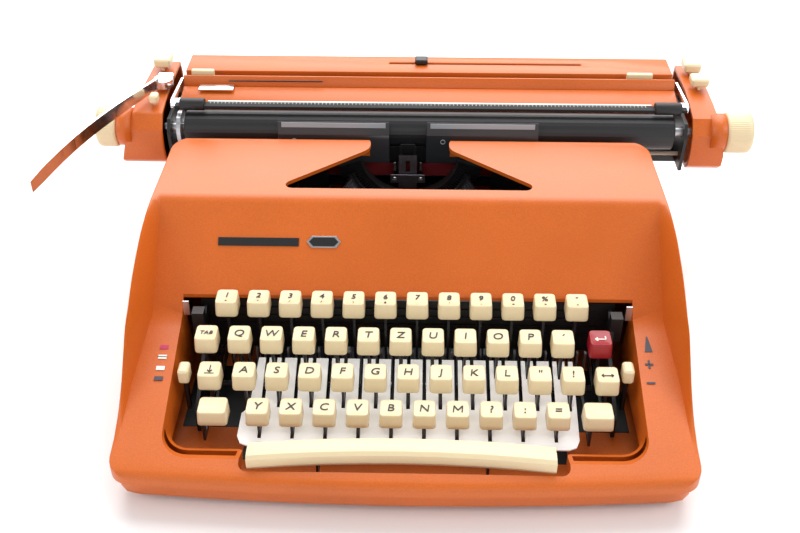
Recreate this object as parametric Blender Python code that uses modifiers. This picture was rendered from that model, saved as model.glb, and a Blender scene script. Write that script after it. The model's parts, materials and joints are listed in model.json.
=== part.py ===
"""Portable typewriter with a moving carriage in a moulded two-part case.

Metres, +Z up, X to the typist's right, Y away from the typist. The pieces are drawn from the desk (Z = 0),
the middle plane of the case (X = 0) and the middle of its front lip (Y = 0). The root empty then shifts
them all, so that the middle of the underside of the bounding box is the origin.
"""
import math

import bmesh
import bpy
from mathutils import Matrix, Vector

MM = 0.001
CLEAR = 0.3 * MM        # gap between pieces that touch
RUN = 0.8 * MM          # gap round a shaft that turns

# ---- driving dimensions: case ----
CASE_HALF = 163.0 * MM
WALL = 2.5 * MM
SEAM_Z = 20.0 * MM
LIP_Y = -3.0 * MM
LIP_Z = 30.0 * MM
LIP_BOW = 7.0 * MM
FRONT_CORNER = 11.0 * MM
RAIL_SLOPE = 0.272
PANEL_FOOT_Y = 105.8 * MM
CREASE_Y = 156.0 * MM
DECK_Z = 109.0 * MM
DECK_REAR_Y = 229.0 * MM
DECK_HALF = 157.5 * MM
DECK_CORNER = 15.0 * MM
CHEEK_WIDTH = 5.8 * MM             # cheek's foot to the case's side, where the panel starts
CHEEK_FRONT_Y = 56.0 * MM
RIDGE_START_Y = 20.0 * MM
SHELF_Z = 70.0 * MM
SHELF_REAR_Y = 296.0 * MM
SHELF_HALF = 154.0 * MM
FOOT_HEIGHT = 3.2 * MM
FOOT_RADIUS = 9.0 * MM
TRAY_FLOOR = 2.0 * MM
TRAY_INSET = 3.0 * MM               # the tray's front behind the lip
TRAY_STEP = 1.5 * MM                # the tray's sides inside the shell's

# ---- driving dimensions: openings in the case ----
WELL_HALF = 134.0 * MM
WELL_FRONT_Y = 26.0 * MM
WELL_REAR_Y = 114.5 * MM
WELL_CORNER = 13.0 * MM
NOTCH_HALF = 91.0 * MM
NOTCH_FRONT_Y = 6.0 * MM
VEE_FRONT_Y = 167.0 * MM
VEE_HALF = 77.0 * MM
VEE_NECK_HALF = 26.0 * MM
VEE_NECK_Y = 214.0 * MM
SHELF_SLOT_HALF = 128.0 * MM
SHELF_SLOT_Y = (230.5 * MM, 288.0 * MM)
REAR_DOOR_HALF = 120.0 * MM
REAR_DOOR_Z = (24.0 * MM, 64.0 * MM)

# ---- driving dimensions: keyboard ----
PITCH = 19.05 * MM
FIRST_KEY_X = -108.05 * MM
ROW_Y = (106.4 * MM, 85.3 * MM, 64.6 * MM, 45.0 * MM)
ROW_Z = (65.4 * MM, 54.9 * MM, 44.8 * MM, 35.0 * MM)
ROW_STAGGER = (0, 2, 3, 5)          # in quarters of the pitch
ROW_COUNT = (12, 11, 11, 10)
CAP_WIDTH = 14.2 * MM
CAP_DEPTH = 12.5 * MM
CAP_RISE = 4.5 * MM                 # cap's top above the row's height
CAP_DROP = 5.0 * MM                 # cap's underside below it
CAP_DRAFT = 0.82
SHIFT_CAP_WIDTH = 18.0 * MM
LEVER_THICK = 1.5 * MM
LEVER_HEIGHT = 3.5 * MM
LEVER_FRONT_Z = 14.0 * MM           # underside of a lever under the front row
LEVER_REAR_Z = 22.5 * MM
FULCRUM_Y = 205.0 * MM
FULCRUM_Z = 24.0 * MM
FULCRUM_ROD = 2.0 * MM
LINK_FIRST_Y = 176.0 * MM
LINK_STEP = 7.0 * MM
PLATE_FRONT = (36.0 * MM, 16.8 * MM)
PLATE_REAR = (93.0 * MM, 33.2 * MM)
PLATE_THICK = 1.2 * MM
SLOT_WIDTH = 2.3 * MM
BAR_HALF = 84.5 * MM
BAR_CENTRE_X = -1.5 * MM
BAR_BOW = 5.0 * MM
BAR_Y = (12.0 * MM, 24.7 * MM)
BAR_Z = (28.0 * MM, 38.5 * MM)

# ---- driving dimensions: printing point and type basket ----
BASKET_Z = 102.0 * MM
BASKET_HALF_ANGLE = math.radians(66.0)
BASKET_PIVOT_RADIUS = 42.0 * MM
TYPEBAR_COUNT = 44
TYPEBAR_WIDTH = 1.1 * MM
RIBBON_HEIGHT = 8.0 * MM
RIBBON_LOW = 75.5 * MM
SPOOL_X = 92.0 * MM
SPOOL_Y = 196.0 * MM
SPOOL_RADIUS = 20.0 * MM

# ---- driving dimensions: carriage at rest ----
PLATEN_Y = 250.0 * MM
PLATEN_Z = 104.5 * MM
PLATEN_RADIUS = 12.0 * MM
PLATEN_SPAN = (-153.5 * MM, 178.5 * MM)
PLATEN_FRONT = PLATEN_Y - PLATEN_RADIUS
BASKET_Y = PLATEN_FRONT - 12.0 * MM
SHAFT_RADIUS = 3.0 * MM
KNOB_RADIUS = 13.9 * MM
KNOB_DEPTH = 20.5 * MM
CAP_END_LEFT = (-199.6 * MM, -168.6 * MM)
CAP_END_RIGHT = (190.6 * MM, 213.4 * MM)
PLATE_GAUGE = 2.2 * MM
SIDE_PLATE_X = (-165.9 * MM, 187.7 * MM)
COVER_SPAN = (-160.0 * MM, 184.0 * MM)
FEED_RADIUS = 5.0 * MM
FEED_DROP = PLATEN_RADIUS + FEED_RADIUS + 1.0 * MM
BED_Z = (76.3 * MM, 80.5 * MM)
RAIL_TOP = 75.0 * MM
BAIL_PIVOT = (291.0 * MM, 118.0 * MM)
BAIL_BAR = (PLATEN_Y + 2.0 * MM, PLATEN_Z + PLATEN_RADIUS + 5.0 * MM)
GRIP_RADIUS = 4.2 * MM
LEVER_PIVOT = (-172.0 * MM, 275.0 * MM)
LEVER_TIP = (-230.0 * MM, 150.0 * MM)
COVER_TOP = 126.0 * MM
COVER_REAR_Y = 320.0 * MM

# ---- scene, collections, materials, helpers ----
for old in list(bpy.data.objects):
    bpy.data.objects.remove(old, do_unlink=True)

PARTS = bpy.data.collections.new("typewriter")
CUTTERS = bpy.data.collections.new("typewriter_cutters")
bpy.context.scene.collection.children.link(PARTS)
bpy.context.scene.collection.children.link(CUTTERS)
SEATS = {}


def finish(name, colour, roughness, metallic=0.0):
    material = bpy.data.materials.new(name)
    material.use_nodes = True
    shader = material.node_tree.nodes["Principled BSDF"]
    shader.inputs["Base Color"].default_value = (*colour, 1.0)
    shader.inputs["Roughness"].default_value = roughness
    shader.inputs["Metallic"].default_value = metallic
    return material


ORANGE = finish("orange_moulding", (0.62, 0.11, 0.015), 0.5)
CREAM = finish("cream_plastic", (0.88, 0.76, 0.52), 0.35)
RED = finish("red_plastic", (0.55, 0.01, 0.03), 0.35)
BLACK = finish("black_enamel", (0.012, 0.012, 0.014), 0.4)
STEEL = finish("bright_steel", (0.55, 0.55, 0.57), 0.3, 1.0)
CHROME = finish("chrome", (0.8, 0.8, 0.82), 0.08, 1.0)
RUBBER = finish("rubber", (0.02, 0.02, 0.022), 0.7)
WHITE = finish("white_enamel", (0.9, 0.9, 0.88), 0.4)
CLEAR_GREY = finish("smoked_plastic", (0.25, 0.27, 0.3), 0.15)
CLOTH = finish("red_ribbon", (0.4, 0.01, 0.03), 0.8)


def seat(name, parent, at=(0.0, 0.0, 0.0)):
    """An empty that holds pieces; `at` is measured in the case's own frame."""
    empty = bpy.data.objects.new(name, None)
    PARTS.objects.link(empty)
    SEATS[empty] = Vector(at)
    if parent is not None:
        empty.parent = parent
        empty.location = SEATS[empty] - SEATS[parent]
    return empty


def place(name, mesh, material, holder):
    """A named object from a mesh drawn in the case's frame, held by an empty."""
    mesh.transform(Matrix.Translation(-SEATS[holder]))
    mesh.name = name
    piece = bpy.data.objects.new(name, mesh)
    piece.parent = holder
    if material is None:
        CUTTERS.objects.link(piece)
        piece.hide_render = True
        piece.display_type = "WIRE"
    else:
        PARTS.objects.link(piece)
        mesh.materials.clear()
        mesh.materials.append(material)
    return piece


def evaluated_mesh(piece):
    graph = bpy.context.evaluated_depsgraph_get()
    return bpy.data.meshes.new_from_object(piece.evaluated_get(graph))


def tidy_mesh(mesh, merge=1e-6):
    shape = bmesh.new()
    shape.from_mesh(mesh)
    bmesh.ops.remove_doubles(shape, verts=shape.verts, dist=merge)
    bmesh.ops.recalc_face_normals(shape, faces=shape.faces)
    shape.to_mesh(mesh)
    shape.free()
    return mesh


def box(name, x, y, z, material, holder, bevel=0.0):
    """A block between two limits on each axis."""
    shape = bmesh.new()
    bmesh.ops.create_cube(shape, size=1.0)
    size = Vector((x[1] - x[0], y[1] - y[0], z[1] - z[0]))
    middle = Vector(((x[0] + x[1]) / 2, (y[0] + y[1]) / 2, (z[0] + z[1]) / 2))
    bmesh.ops.scale(shape, vec=size, verts=shape.verts)
    bmesh.ops.translate(shape, vec=middle, verts=shape.verts)
    if bevel:
        bmesh.ops.bevel(shape, geom=shape.edges, offset=bevel, segments=1, affect="EDGES")
    mesh = bpy.data.meshes.new(name)
    shape.to_mesh(mesh)
    shape.free()
    return place(name, mesh, material, holder)


AXIS_TURN = {
    "X": Matrix.Rotation(math.pi / 2, 4, "Y"),
    "Y": Matrix.Rotation(-math.pi / 2, 4, "X"),
    "Z": Matrix.Identity(4),
}


def rod(name, axis, start, length, radius, material, holder, sides=20):
    """A round bar that starts at a point and runs along an axis."""
    shape = bmesh.new()
    bmesh.ops.create_cone(shape, cap_ends=True, segments=sides, radius1=radius, radius2=radius, depth=length)
    bmesh.ops.translate(shape, vec=(0.0, 0.0, length / 2), verts=shape.verts)
    mesh = bpy.data.meshes.new(name)
    shape.to_mesh(mesh)
    shape.free()
    mesh.transform(Matrix.Translation(Vector(start)) @ AXIS_TURN[axis])
    piece = place(name, mesh, material, holder)
    piece.data.shade_smooth()
    piece.data.set_sharp_from_angle(angle=math.radians(40.0))
    return piece


SHEET_TURN = {
    "XY": Matrix.Identity(4),
    "YZ": Matrix(((0, 0, 1, 0), (1, 0, 0, 0), (0, 1, 0, 0), (0, 0, 0, 1))),
    "XZ": Matrix(((1, 0, 0, 0), (0, 0, -1, 0), (0, 1, 0, 0), (0, 0, 0, 1))),
}


def slab(name, outline, plane, span, material, holder):
    """A flat outline in a plane, as thick as its span across that plane."""
    curve = bpy.data.curves.new(name, "CURVE")
    curve.dimensions = "2D"
    curve.fill_mode = "BOTH"
    curve.extrude = abs(span[1] - span[0]) / 2
    spline = curve.splines.new("POLY")
    spline.points.add(len(outline) - 1)
    for point, spot in zip(spline.points, outline):
        point.co = (spot[0], spot[1], 0.0, 1.0)
    spline.use_cyclic_u = True
    drawn = bpy.data.objects.new(name + "_outline", curve)
    CUTTERS.objects.link(drawn)
    mesh = evaluated_mesh(drawn)
    bpy.data.objects.remove(drawn, do_unlink=True)
    tidy_mesh(mesh)
    middle = (span[0] + span[1]) / 2
    across = -middle if plane == "XZ" else middle
    mesh.transform(SHEET_TURN[plane] @ Matrix.Translation((0.0, 0.0, across)))
    return place(name, mesh, material, holder)


def turned(name, profile, material, holder, steps=24):
    """A ring turned about the holder's X axis; the profile is a closed loop of (x, radius)."""
    centre = SEATS[holder]
    shape = bmesh.new()
    loop = [shape.verts.new((x - centre.x, radius, 0.0)) for x, radius in profile]
    for index, corner in enumerate(loop):
        shape.edges.new((corner, loop[(index + 1) % len(loop)]))
    mesh = bpy.data.meshes.new(name)
    shape.to_mesh(mesh)
    shape.free()
    draft = bpy.data.objects.new(name + "_profile", mesh)
    CUTTERS.objects.link(draft)
    screw = draft.modifiers.new("turn", "SCREW")
    screw.axis = "X"
    screw.steps = steps
    screw.render_steps = steps
    screw.use_merge_vertices = True
    screw.merge_threshold = 1e-6
    solid = evaluated_mesh(draft)
    bpy.data.objects.remove(draft, do_unlink=True)
    tidy_mesh(solid)
    solid.transform(Matrix.Translation(centre))
    piece = place(name, solid, material, holder)
    piece.data.shade_smooth()
    piece.data.set_sharp_from_angle(angle=math.radians(40.0))
    return piece


def combine(piece, others, operation):
    """Unites the piece with others, or cuts them out of it."""
    for other in others:
        step = piece.modifiers.new("combine", "BOOLEAN")
        step.operation = operation
        step.solver = "EXACT"
        step.object = other
        mesh = evaluated_mesh(piece)
        piece.modifiers.clear()
        piece.data = mesh
        bpy.data.objects.remove(other, do_unlink=True)
    tidy_mesh(piece.data)
    return piece


def between(value, stops):
    """Reads a height or a width off a list of (position, value) stops."""
    if value <= stops[0][0]:
        return stops[0][1]
    for (start, low), (end, high) in zip(stops, stops[1:]):
        if value <= end:
            return low + (high - low) * (value - start) / (end - start)
    return stops[-1][1]


def arc(centre, radius, start, end, steps):
    """Points of an arc, angles in degrees, the ends included."""
    turn = [math.radians(start + (end - start) * step / steps) for step in range(steps + 1)]
    return [(centre[0] + radius * math.cos(a), centre[1] + radius * math.sin(a)) for a in turn]


LEFT_REACH = LEVER_TIP[0]
RIGHT_REACH = CAP_END_RIGHT[1] + KNOB_DEPTH
ROOT_SHIFT = Vector((-(LEFT_REACH + RIGHT_REACH) / 2, -(LIP_Y + COVER_REAR_Y) / 2, 0.0))
ROOT = seat("typewriter_root", None)
ROOT.location = ROOT_SHIFT


# ---- case: upper shell ----
def rail_height(y):
    return LIP_Z + RAIL_SLOPE * (y - 8.0 * MM)


PANEL_FOOT_Z = rail_height(PANEL_FOOT_Y)


def floor_height(y):
    """Height of the case's top between the cheeks."""
    stops = (
        (PANEL_FOOT_Y, PANEL_FOOT_Z),
        (CREASE_Y - 4 * MM, DECK_Z - 4.6 * MM),
        (CREASE_Y, DECK_Z - 1.6 * MM),
        (CREASE_Y + 5 * MM, DECK_Z - 0.2 * MM),
        (DECK_REAR_Y - 3 * MM, DECK_Z),
        (DECK_REAR_Y, DECK_Z - 2.5 * MM),
    )
    front = (
        (LIP_Y, LIP_Z - 3 * MM),
        (LIP_Y + 1.2 * MM, LIP_Z - 1.2 * MM),
        (LIP_Y + 4 * MM, LIP_Z - 0.7 * MM),
    )
    if y <= LIP_Y + 4 * MM:
        return between(y, front)
    if y < PANEL_FOOT_Y:
        return rail_height(y)
    return between(y, stops)


RIDGE_CLIMB = (
    (RIDGE_START_Y, 0.04),
    (35.0 * MM, 0.139),
    (49.0 * MM, 0.278),
    (60.0 * MM, 0.418),
    (72.0 * MM, 0.57),
    (80.0 * MM, 0.627),
    (100.0 * MM, 0.785),
    (124.0 * MM, 0.922),
    (138.0 * MM, 0.97),
    (152.0 * MM, 0.997),
    (CREASE_Y + 9 * MM, 1.0),
)


def ridge_height(y):
    """Height of the rounded crest along each cheek, which climbs from the rail to the deck."""
    climb = between(y, RIDGE_CLIMB)
    if y < RIDGE_START_Y or climb >= 1.0:
        return floor_height(y)
    return max(LIP_Z + climb * (DECK_Z - LIP_Z), floor_height(y))


def half_width(y):
    """Half the width of the case's top at a depth, with its rounded corners in plan."""
    stops = ((LIP_Y + FRONT_CORNER, CASE_HALF), (CREASE_Y, DECK_HALF + 1 * MM), (220 * MM, DECK_HALF))
    width = between(y, stops)
    into_front = y - LIP_Y
    if into_front < FRONT_CORNER:
        width -= FRONT_CORNER - math.sqrt(max(FRONT_CORNER ** 2 - (FRONT_CORNER - into_front) ** 2, 0.0))
    into_rear = DECK_REAR_Y - y
    if into_rear < DECK_CORNER:
        width -= DECK_CORNER - math.sqrt(max(DECK_CORNER ** 2 - (DECK_CORNER - into_rear) ** 2, 0.0))
    return width


STATIONS = [LIP_Y + gap * MM for gap in (0.0, 1.2, 4.0, 7.0, FRONT_CORNER / MM)]
STATIONS += [RIDGE_START_Y, 35.0 * MM, 49.0 * MM, CHEEK_FRONT_Y]
STATIONS += [y * MM for y in (64.0, 72.0, 80.0, 92.0)]
STATIONS += [PANEL_FOOT_Y, 116.0 * MM, 127.0 * MM, 140.0 * MM, CREASE_Y - 4 * MM, CREASE_Y]
STATIONS += [CREASE_Y + 5 * MM, 190.0 * MM, DECK_REAR_Y - DECK_CORNER]
STATIONS += [DECK_REAR_Y - gap * MM for gap in (9.0, 5.0, 2.0, 0.0)]


def case_section(y, inset):
    """Half a cross-section of the case's top, middle to edge, as (x, z). The cheeks are solid."""
    edge = half_width(y) - inset
    width = between(y, ((CHEEK_FRONT_Y, 0.52 * CHEEK_WIDTH), (PANEL_FOOT_Y, CHEEK_WIDTH)))
    foot = edge - width
    low = floor_height(y) - inset
    lift = ridge_height(y) - floor_height(y)
    if inset > 0.0:
        lift = 0.0
    section = [(foot * share, low) for share in (0.0, 0.3, 0.6, 0.86, 1.0)]
    for across, up in ((0.3, 0.5), (0.66, 0.9), (0.84, 1.0)):
        section.append((foot + across * width, low + up * lift))
    section.append((edge, low + lift - 2.4 * MM))
    return section


def case_block(name, inset, bottom, flare):
    """The closed outer form of the case, or the smaller form of its hollow."""
    shape = bmesh.new()
    rows = []
    last = STATIONS[-1] - STATIONS[0]
    for y in STATIONS:
        drawn = STATIONS[0] + inset + (y - STATIONS[0]) * (last - 2 * inset) / last
        half = case_section(y, inset)
        section = [(-x, z) for x, z in reversed(half[1:])] + half
        row = []
        for x, z in section:
            bow = LIP_BOW * (x / CASE_HALF) ** 2 * between(y, ((LIP_Y, 1.0), (LIP_Y + 100 * MM, 0.0)))
            row.append(shape.verts.new((x, drawn + bow, z)))
        rows.append(row)
    for near, far in zip(rows, rows[1:]):
        for index in range(len(near) - 1):
            shape.faces.new((near[index], near[index + 1], far[index + 1], far[index]))
    rim = list(rows[0]) + [row[-1] for row in rows[1:]]
    rim += list(reversed(rows[-1][:-1])) + [row[0] for row in reversed(rows[1:-1])]
    skirt = []
    for corner in rim:
        spread = 1.0 + flare * max(0.0, corner.co.z - LIP_Z) / (DECK_Z - LIP_Z)
        skirt.append(shape.verts.new((corner.co.x * spread, corner.co.y, bottom)))
    for index, corner in enumerate(rim):
        after = (index + 1) % len(rim)
        shape.faces.new((skirt[index], skirt[after], rim[after], corner))
    shape.faces.new(list(reversed(skirt)))
    bmesh.ops.recalc_face_normals(shape, faces=shape.faces)
    mesh = bpy.data.meshes.new(name)
    shape.to_mesh(mesh)
    shape.free()
    return mesh


def well_outline(grow):
    """The keyboard opening with its space-bar notch, in plan."""
    side = WELL_HALF + grow
    front = WELL_FRONT_Y - grow
    notch = NOTCH_HALF + grow
    notch_front = NOTCH_FRONT_Y - grow
    corner = WELL_CORNER + grow
    soft = 5.0 * MM + grow
    turn = (side - corner, front + corner)
    right = arc((notch - soft, notch_front + soft), soft, -90.0, 0.0, 3)
    right += [(notch, front)]
    right += arc(turn, corner, -90.0, 0.0, 4)
    return right


def mirrored(right, close):
    """A whole outline from its right half, with `close` as the far ends."""
    left = [(-x, y) for x, y in reversed(right)]
    return left + right + close


CASE_SPREAD = 0.012
shell = place("upper_shell", case_block("upper_shell", 0.0, SEAM_Z, CASE_SPREAD), ORANGE, ROOT)
shelf_x = (-SHELF_HALF, SHELF_HALF)
shelf = box("shelf_block", shelf_x, (200 * MM, SHELF_REAR_Y), (SEAM_Z, SHELF_Z), None, ROOT)
combine(shell, [shelf], "UNION")

hollow = place("hollow", case_block("hollow", WALL, SEAM_Z - 2 * MM, CASE_SPREAD), None, ROOT)
shelf_hollow = box(
    "shelf_hollow",
    (-SHELF_HALF + WALL, SHELF_HALF - WALL),
    (195 * MM, SHELF_REAR_Y - WALL),
    (SEAM_Z - 2 * MM, SHELF_Z - WALL),
    None,
    ROOT,
)
combine(hollow, [shelf_hollow], "UNION")
wall_rear = WELL_REAR_Y - 0.5 * MM
walls = slab(
    "well_walls",
    mirrored(well_outline(WALL), [(WELL_HALF + WALL, wall_rear), (-WELL_HALF - WALL, wall_rear)]),
    "XY",
    (0.0, 120 * MM),
    None,
    ROOT,
)
combine(hollow, [walls], "DIFFERENCE")
well = slab(
    "well_cut",
    mirrored(well_outline(0.0), [(WELL_HALF, WELL_REAR_Y), (-WELL_HALF, WELL_REAR_Y)]),
    "XY",
    (10 * MM, 120 * MM),
    None,
    ROOT,
)
vee_right = [(VEE_HALF - 5 * MM, VEE_FRONT_Y)]
vee_right += arc((VEE_HALF - 5 * MM, VEE_FRONT_Y + 5 * MM), 5 * MM, -60.0, 50.0, 3)
vee_right += [
    (VEE_NECK_HALF + 4 * MM, VEE_NECK_Y - 3 * MM),
    (VEE_NECK_HALF, VEE_NECK_Y + 3 * MM),
    (VEE_NECK_HALF + 1 * MM, DECK_REAR_Y - 7 * MM),
    (VEE_NECK_HALF + 4 * MM, DECK_REAR_Y - 2 * MM),
    (VEE_NECK_HALF + 8 * MM, DECK_REAR_Y + 1 * MM),
]
vee = slab("vee_cut", mirrored(vee_right, []), "XY", (80 * MM, 130 * MM), None, ROOT)
shelf_slot_x = (-SHELF_SLOT_HALF, SHELF_SLOT_HALF)
shelf_slot = box("shelf_slot", shelf_slot_x, SHELF_SLOT_Y, (60 * MM, 80 * MM), None, ROOT)
door = box(
    "door_cut",
    (-REAR_DOOR_HALF, REAR_DOOR_HALF),
    (SHELF_REAR_Y - 5 * MM, SHELF_REAR_Y + 5 * MM),
    REAR_DOOR_Z,
    None,
    ROOT,
)
basket_room = BASKET_PIVOT_RADIUS + 14 * MM
back_gap = box(
    "back_gap",
    (-basket_room, basket_room),
    (DECK_REAR_Y - 6 * MM, DECK_REAR_Y + 2 * MM),
    (SHELF_Z - 10 * MM, DECK_Z - 12 * MM),
    None,
    ROOT,
)
combine(shell, [hollow, well, vee, shelf_slot, door, back_gap], "DIFFERENCE")

# ---- case: base tray, feet, rear panel ----


def tray_ring(inset, front, rear, corner, z):
    """A bowed, round-cornered loop of the base tray, wider in front as the shell is."""
    wide = CASE_HALF - TRAY_STEP - inset
    slim = SHELF_HALF - 0.5 * MM - inset
    ring = []
    for share in (-1.0, -0.7, -0.35, 0.0, 0.35, 0.7, 1.0):
        x = share * (wide - corner)
        ring.append((x, front + LIP_BOW * (x / CASE_HALF) ** 2, z))
    lift = LIP_BOW * ((wide - corner) / CASE_HALF) ** 2
    ring += [(x, y + lift, z) for x, y in arc((wide - corner, front + corner), corner, -60.0, 0.0, 2)]
    ring += [(x, y, z) for x, y in arc((slim - corner, rear - corner), corner, 0.0, 90.0, 3)]
    ring += [(x, y, z) for x, y in arc((-slim + corner, rear - corner), corner, 90.0, 180.0, 3)]
    ring += [(x, y + lift, z) for x, y in arc((-wide + corner, front + corner), corner, 180.0, 240.0, 2)]
    return ring


def loft(name, rings, material, holder):
    """A closed solid through loops that have the same number of points."""
    shape = bmesh.new()
    loops = [[shape.verts.new(spot) for spot in ring] for ring in rings]
    for low, high in zip(loops, loops[1:]):
        for index in range(len(low)):
            after = (index + 1) % len(low)
            shape.faces.new((low[index], low[after], high[after], high[index]))
    shape.faces.new(list(reversed(loops[0])))
    shape.faces.new(loops[-1])
    bmesh.ops.recalc_face_normals(shape, faces=shape.faces)
    mesh = bpy.data.meshes.new(name)
    shape.to_mesh(mesh)
    shape.free()
    return place(name, mesh, material, holder)


tray_front = LIP_Y + TRAY_INSET
tray_rear = SHELF_REAR_Y - 1 * MM
tray = loft(
    "base_tray",
    [
        tray_ring(4 * MM, tray_front + 5 * MM, tray_rear - 3 * MM, 10 * MM, FOOT_HEIGHT + CLEAR),
        tray_ring(1 * MM, tray_front + 1.5 * MM, tray_rear - 1 * MM, 11 * MM, 8 * MM),
        tray_ring(0.0, tray_front, tray_rear, 12 * MM, SEAM_Z - CLEAR),
    ],
    ORANGE,
    ROOT,
)
tray_hollow = loft(
    "tray_hollow",
    [
        tray_ring(
            7 * MM,
            tray_front + 8 * MM,
            tray_rear - 6 * MM,
            8 * MM,
            FOOT_HEIGHT + CLEAR + TRAY_FLOOR,
        ),
        tray_ring(3 * MM, tray_front + 3 * MM, tray_rear - 3 * MM, 9 * MM, SEAM_Z + 2 * MM),
    ],
    None,
    ROOT,
)
combine(tray, [tray_hollow], "DIFFERENCE")

for side, x in (("left", -128 * MM), ("right", 128 * MM)):
    for end, y in (("front", 32 * MM), ("rear", 268 * MM)):
        rod(f"foot_{end}_{side}", "Z", (x, y, 0.0), FOOT_HEIGHT, FOOT_RADIUS, RUBBER, ROOT, 16)

panel_half = REAR_DOOR_HALF - CLEAR
rear_panel = box(
    "rear_panel",
    (-panel_half, panel_half),
    (SHELF_REAR_Y - 2.2 * MM, SHELF_REAR_Y),
    (REAR_DOOR_Z[0] + CLEAR, REAR_DOOR_Z[1] - CLEAR),
    ORANGE,
    ROOT,
)
VENT_COUNT = 8
vents = []
for index in range(VENT_COUNT):
    x = (index - (VENT_COUNT - 1) / 2) * 24 * MM
    vents.append(
        box(
            "vent",
            (x - 8 * MM, x + 8 * MM),
            (SHELF_REAR_Y - 8 * MM, SHELF_REAR_Y + 8 * MM),
            (42 * MM, 46 * MM),
            None,
            ROOT,
        )
    )
combine(rear_panel, vents, "DIFFERENCE")

# ---- inside: main frame, fulcrum rod, carriage rails ----
FRAME_X = 122.0 * MM
TRAY_TOP = FOOT_HEIGHT + CLEAR + TRAY_FLOOR
side_outline = [
    (58 * MM, TRAY_TOP + CLEAR),
    (286 * MM, TRAY_TOP + CLEAR),
    (286 * MM, 60 * MM),
    (112 * MM, 58 * MM),
    (99 * MM, 52 * MM),
    (94 * MM, 37 * MM),
    (62 * MM, 24 * MM),
    (58 * MM, 20 * MM),
]
frame = slab("main_frame", side_outline, "YZ", (FRAME_X, FRAME_X + PLATE_GAUGE), BLACK, ROOT)
far_side = slab("far_side", side_outline, "YZ", (-FRAME_X - PLATE_GAUGE, -FRAME_X), None, ROOT)
span = (-FRAME_X - PLATE_GAUGE, FRAME_X + PLATE_GAUGE)
bars = [
    far_side,
    box("cross_low", span, (212 * MM, 220 * MM), (8 * MM, 14 * MM), None, ROOT),
    box("cross_rear", span, (256 * MM, 284 * MM), (55 * MM, 59 * MM), None, ROOT),
    box("guide_post", (-24 * MM, 24 * MM), (233 * MM, 260 * MM), (52 * MM, 58 * MM), None, ROOT),
    box("bracket_right", (122 * MM, 129 * MM), (100 * MM, 107 * MM), (44 * MM, 62 * MM), None, ROOT),
    box("bracket_left", (-129 * MM, -122 * MM), (100 * MM, 107 * MM), (44 * MM, 62 * MM), None, ROOT),
    box("back_bar", span, (119 * MM, 122 * MM), (44 * MM, 58 * MM), None, ROOT),
]
combine(frame, bars, "UNION")

rod(
    "fulcrum_rod",
    "X",
    (-FRAME_X + CLEAR, FULCRUM_Y, FULCRUM_Z - 7 * MM),
    2 * (FRAME_X - CLEAR),
    FULCRUM_ROD,
    STEEL,
    ROOT,
    12,
)
for label, y in (("front", 259 * MM), ("rear", 277 * MM)):
    box(
        f"carriage_rail_{label}",
        (-FRAME_X, FRAME_X),
        (y, y + 6 * MM),
        (60.3 * MM, RAIL_TOP),
        STEEL,
        ROOT,
        0.8 * MM,
    )

drum_at = (-70 * MM, 266 * MM, 34 * MM)
DRUM_SEAT = seat("mainspring_drum_axis", ROOT, drum_at)
drum = rod("mainspring_drum", "Y", drum_at, 12 * MM, 13 * MM, STEEL, DRUM_SEAT, 24)
bore_at = (drum_at[0], drum_at[1] - 1 * MM, drum_at[2])
drum_bore = rod("drum_bore", "Y", bore_at, 14 * MM, 3 * MM, None, DRUM_SEAT, 12)
combine(drum, [drum_bore], "DIFFERENCE")

# ---- keyboard: white plate and comb ----
SLOT_COUNT = 48


def slot_x(index):
    """Lever places run a quarter of the key pitch apart."""
    return FIRST_KEY_X + index * PITCH / 4


ROW_OF_PLACE = {0: 0, 1: 3, 2: 1, 3: 2}
plate_run = math.hypot(PLATE_REAR[0] - PLATE_FRONT[0], PLATE_REAR[1] - PLATE_FRONT[1])
plate_tilt = math.atan2(PLATE_REAR[1] - PLATE_FRONT[1], PLATE_REAR[0] - PLATE_FRONT[0])


def along_plate(y):
    return (y - PLATE_FRONT[0]) / math.cos(plate_tilt)


def drawn_plate_slots():
    """The plate's rear edge, right to left, dipping in at each slot."""
    edge = []
    for index in reversed(range(5, 44)):
        row = ROW_OF_PLACE[index % 4]
        if row == 0:
            continue
        x = slot_x(index)
        end = along_plate(ROW_Y[row] - 4.5 * MM)
        half = SLOT_WIDTH / 2
        edge += [(x + half, plate_run), (x + half, end), (x - half, end), (x - half, plate_run)]
    return edge


plate_outline = [(-97 * MM, 6 * MM), (-95 * MM, 1.5 * MM), (-91 * MM, 0.0)]
plate_outline += [(94 * MM, 0.0), (98.5 * MM, 1.5 * MM), (100.5 * MM, 6 * MM), (100.5 * MM, plate_run)]
plate_outline += drawn_plate_slots()
plate_outline += [(-89.5 * MM, plate_run), (-92 * MM, along_plate(60 * MM)), (-96 * MM, along_plate(56 * MM))]
plate = slab("key_plate", plate_outline, "XY", (0.0, PLATE_THICK), WHITE, ROOT)
plate.data.transform(Matrix.Rotation(plate_tilt, 4, "X"))
plate.data.transform(Matrix.Translation((0.0, PLATE_FRONT[0], PLATE_FRONT[1])))

COMB_Y = (97.0 * MM, 99.5 * MM)
COMB_TOOTH = 1.2 * MM
SPACE_ARM_PLACES = (12, 32)         # the space bar's arms take the place of these two teeth
comb_outline = [(-FRAME_X + CLEAR, 6.2 * MM), (FRAME_X - CLEAR, 6.2 * MM), (FRAME_X - CLEAR, 8.8 * MM)]
for index in reversed(range(0, SLOT_COUNT - 2)):
    if index in SPACE_ARM_PLACES:
        continue
    x = slot_x(index) + PITCH / 8
    half = COMB_TOOTH / 2
    comb_outline += [(x + half, 8.8 * MM), (x + half, 37 * MM), (x - half, 37 * MM), (x - half, 8.8 * MM)]
comb_outline += [(-FRAME_X + CLEAR, 8.8 * MM)]
slab("lever_comb", comb_outline, "XZ", COMB_Y, STEEL, ROOT)


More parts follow.
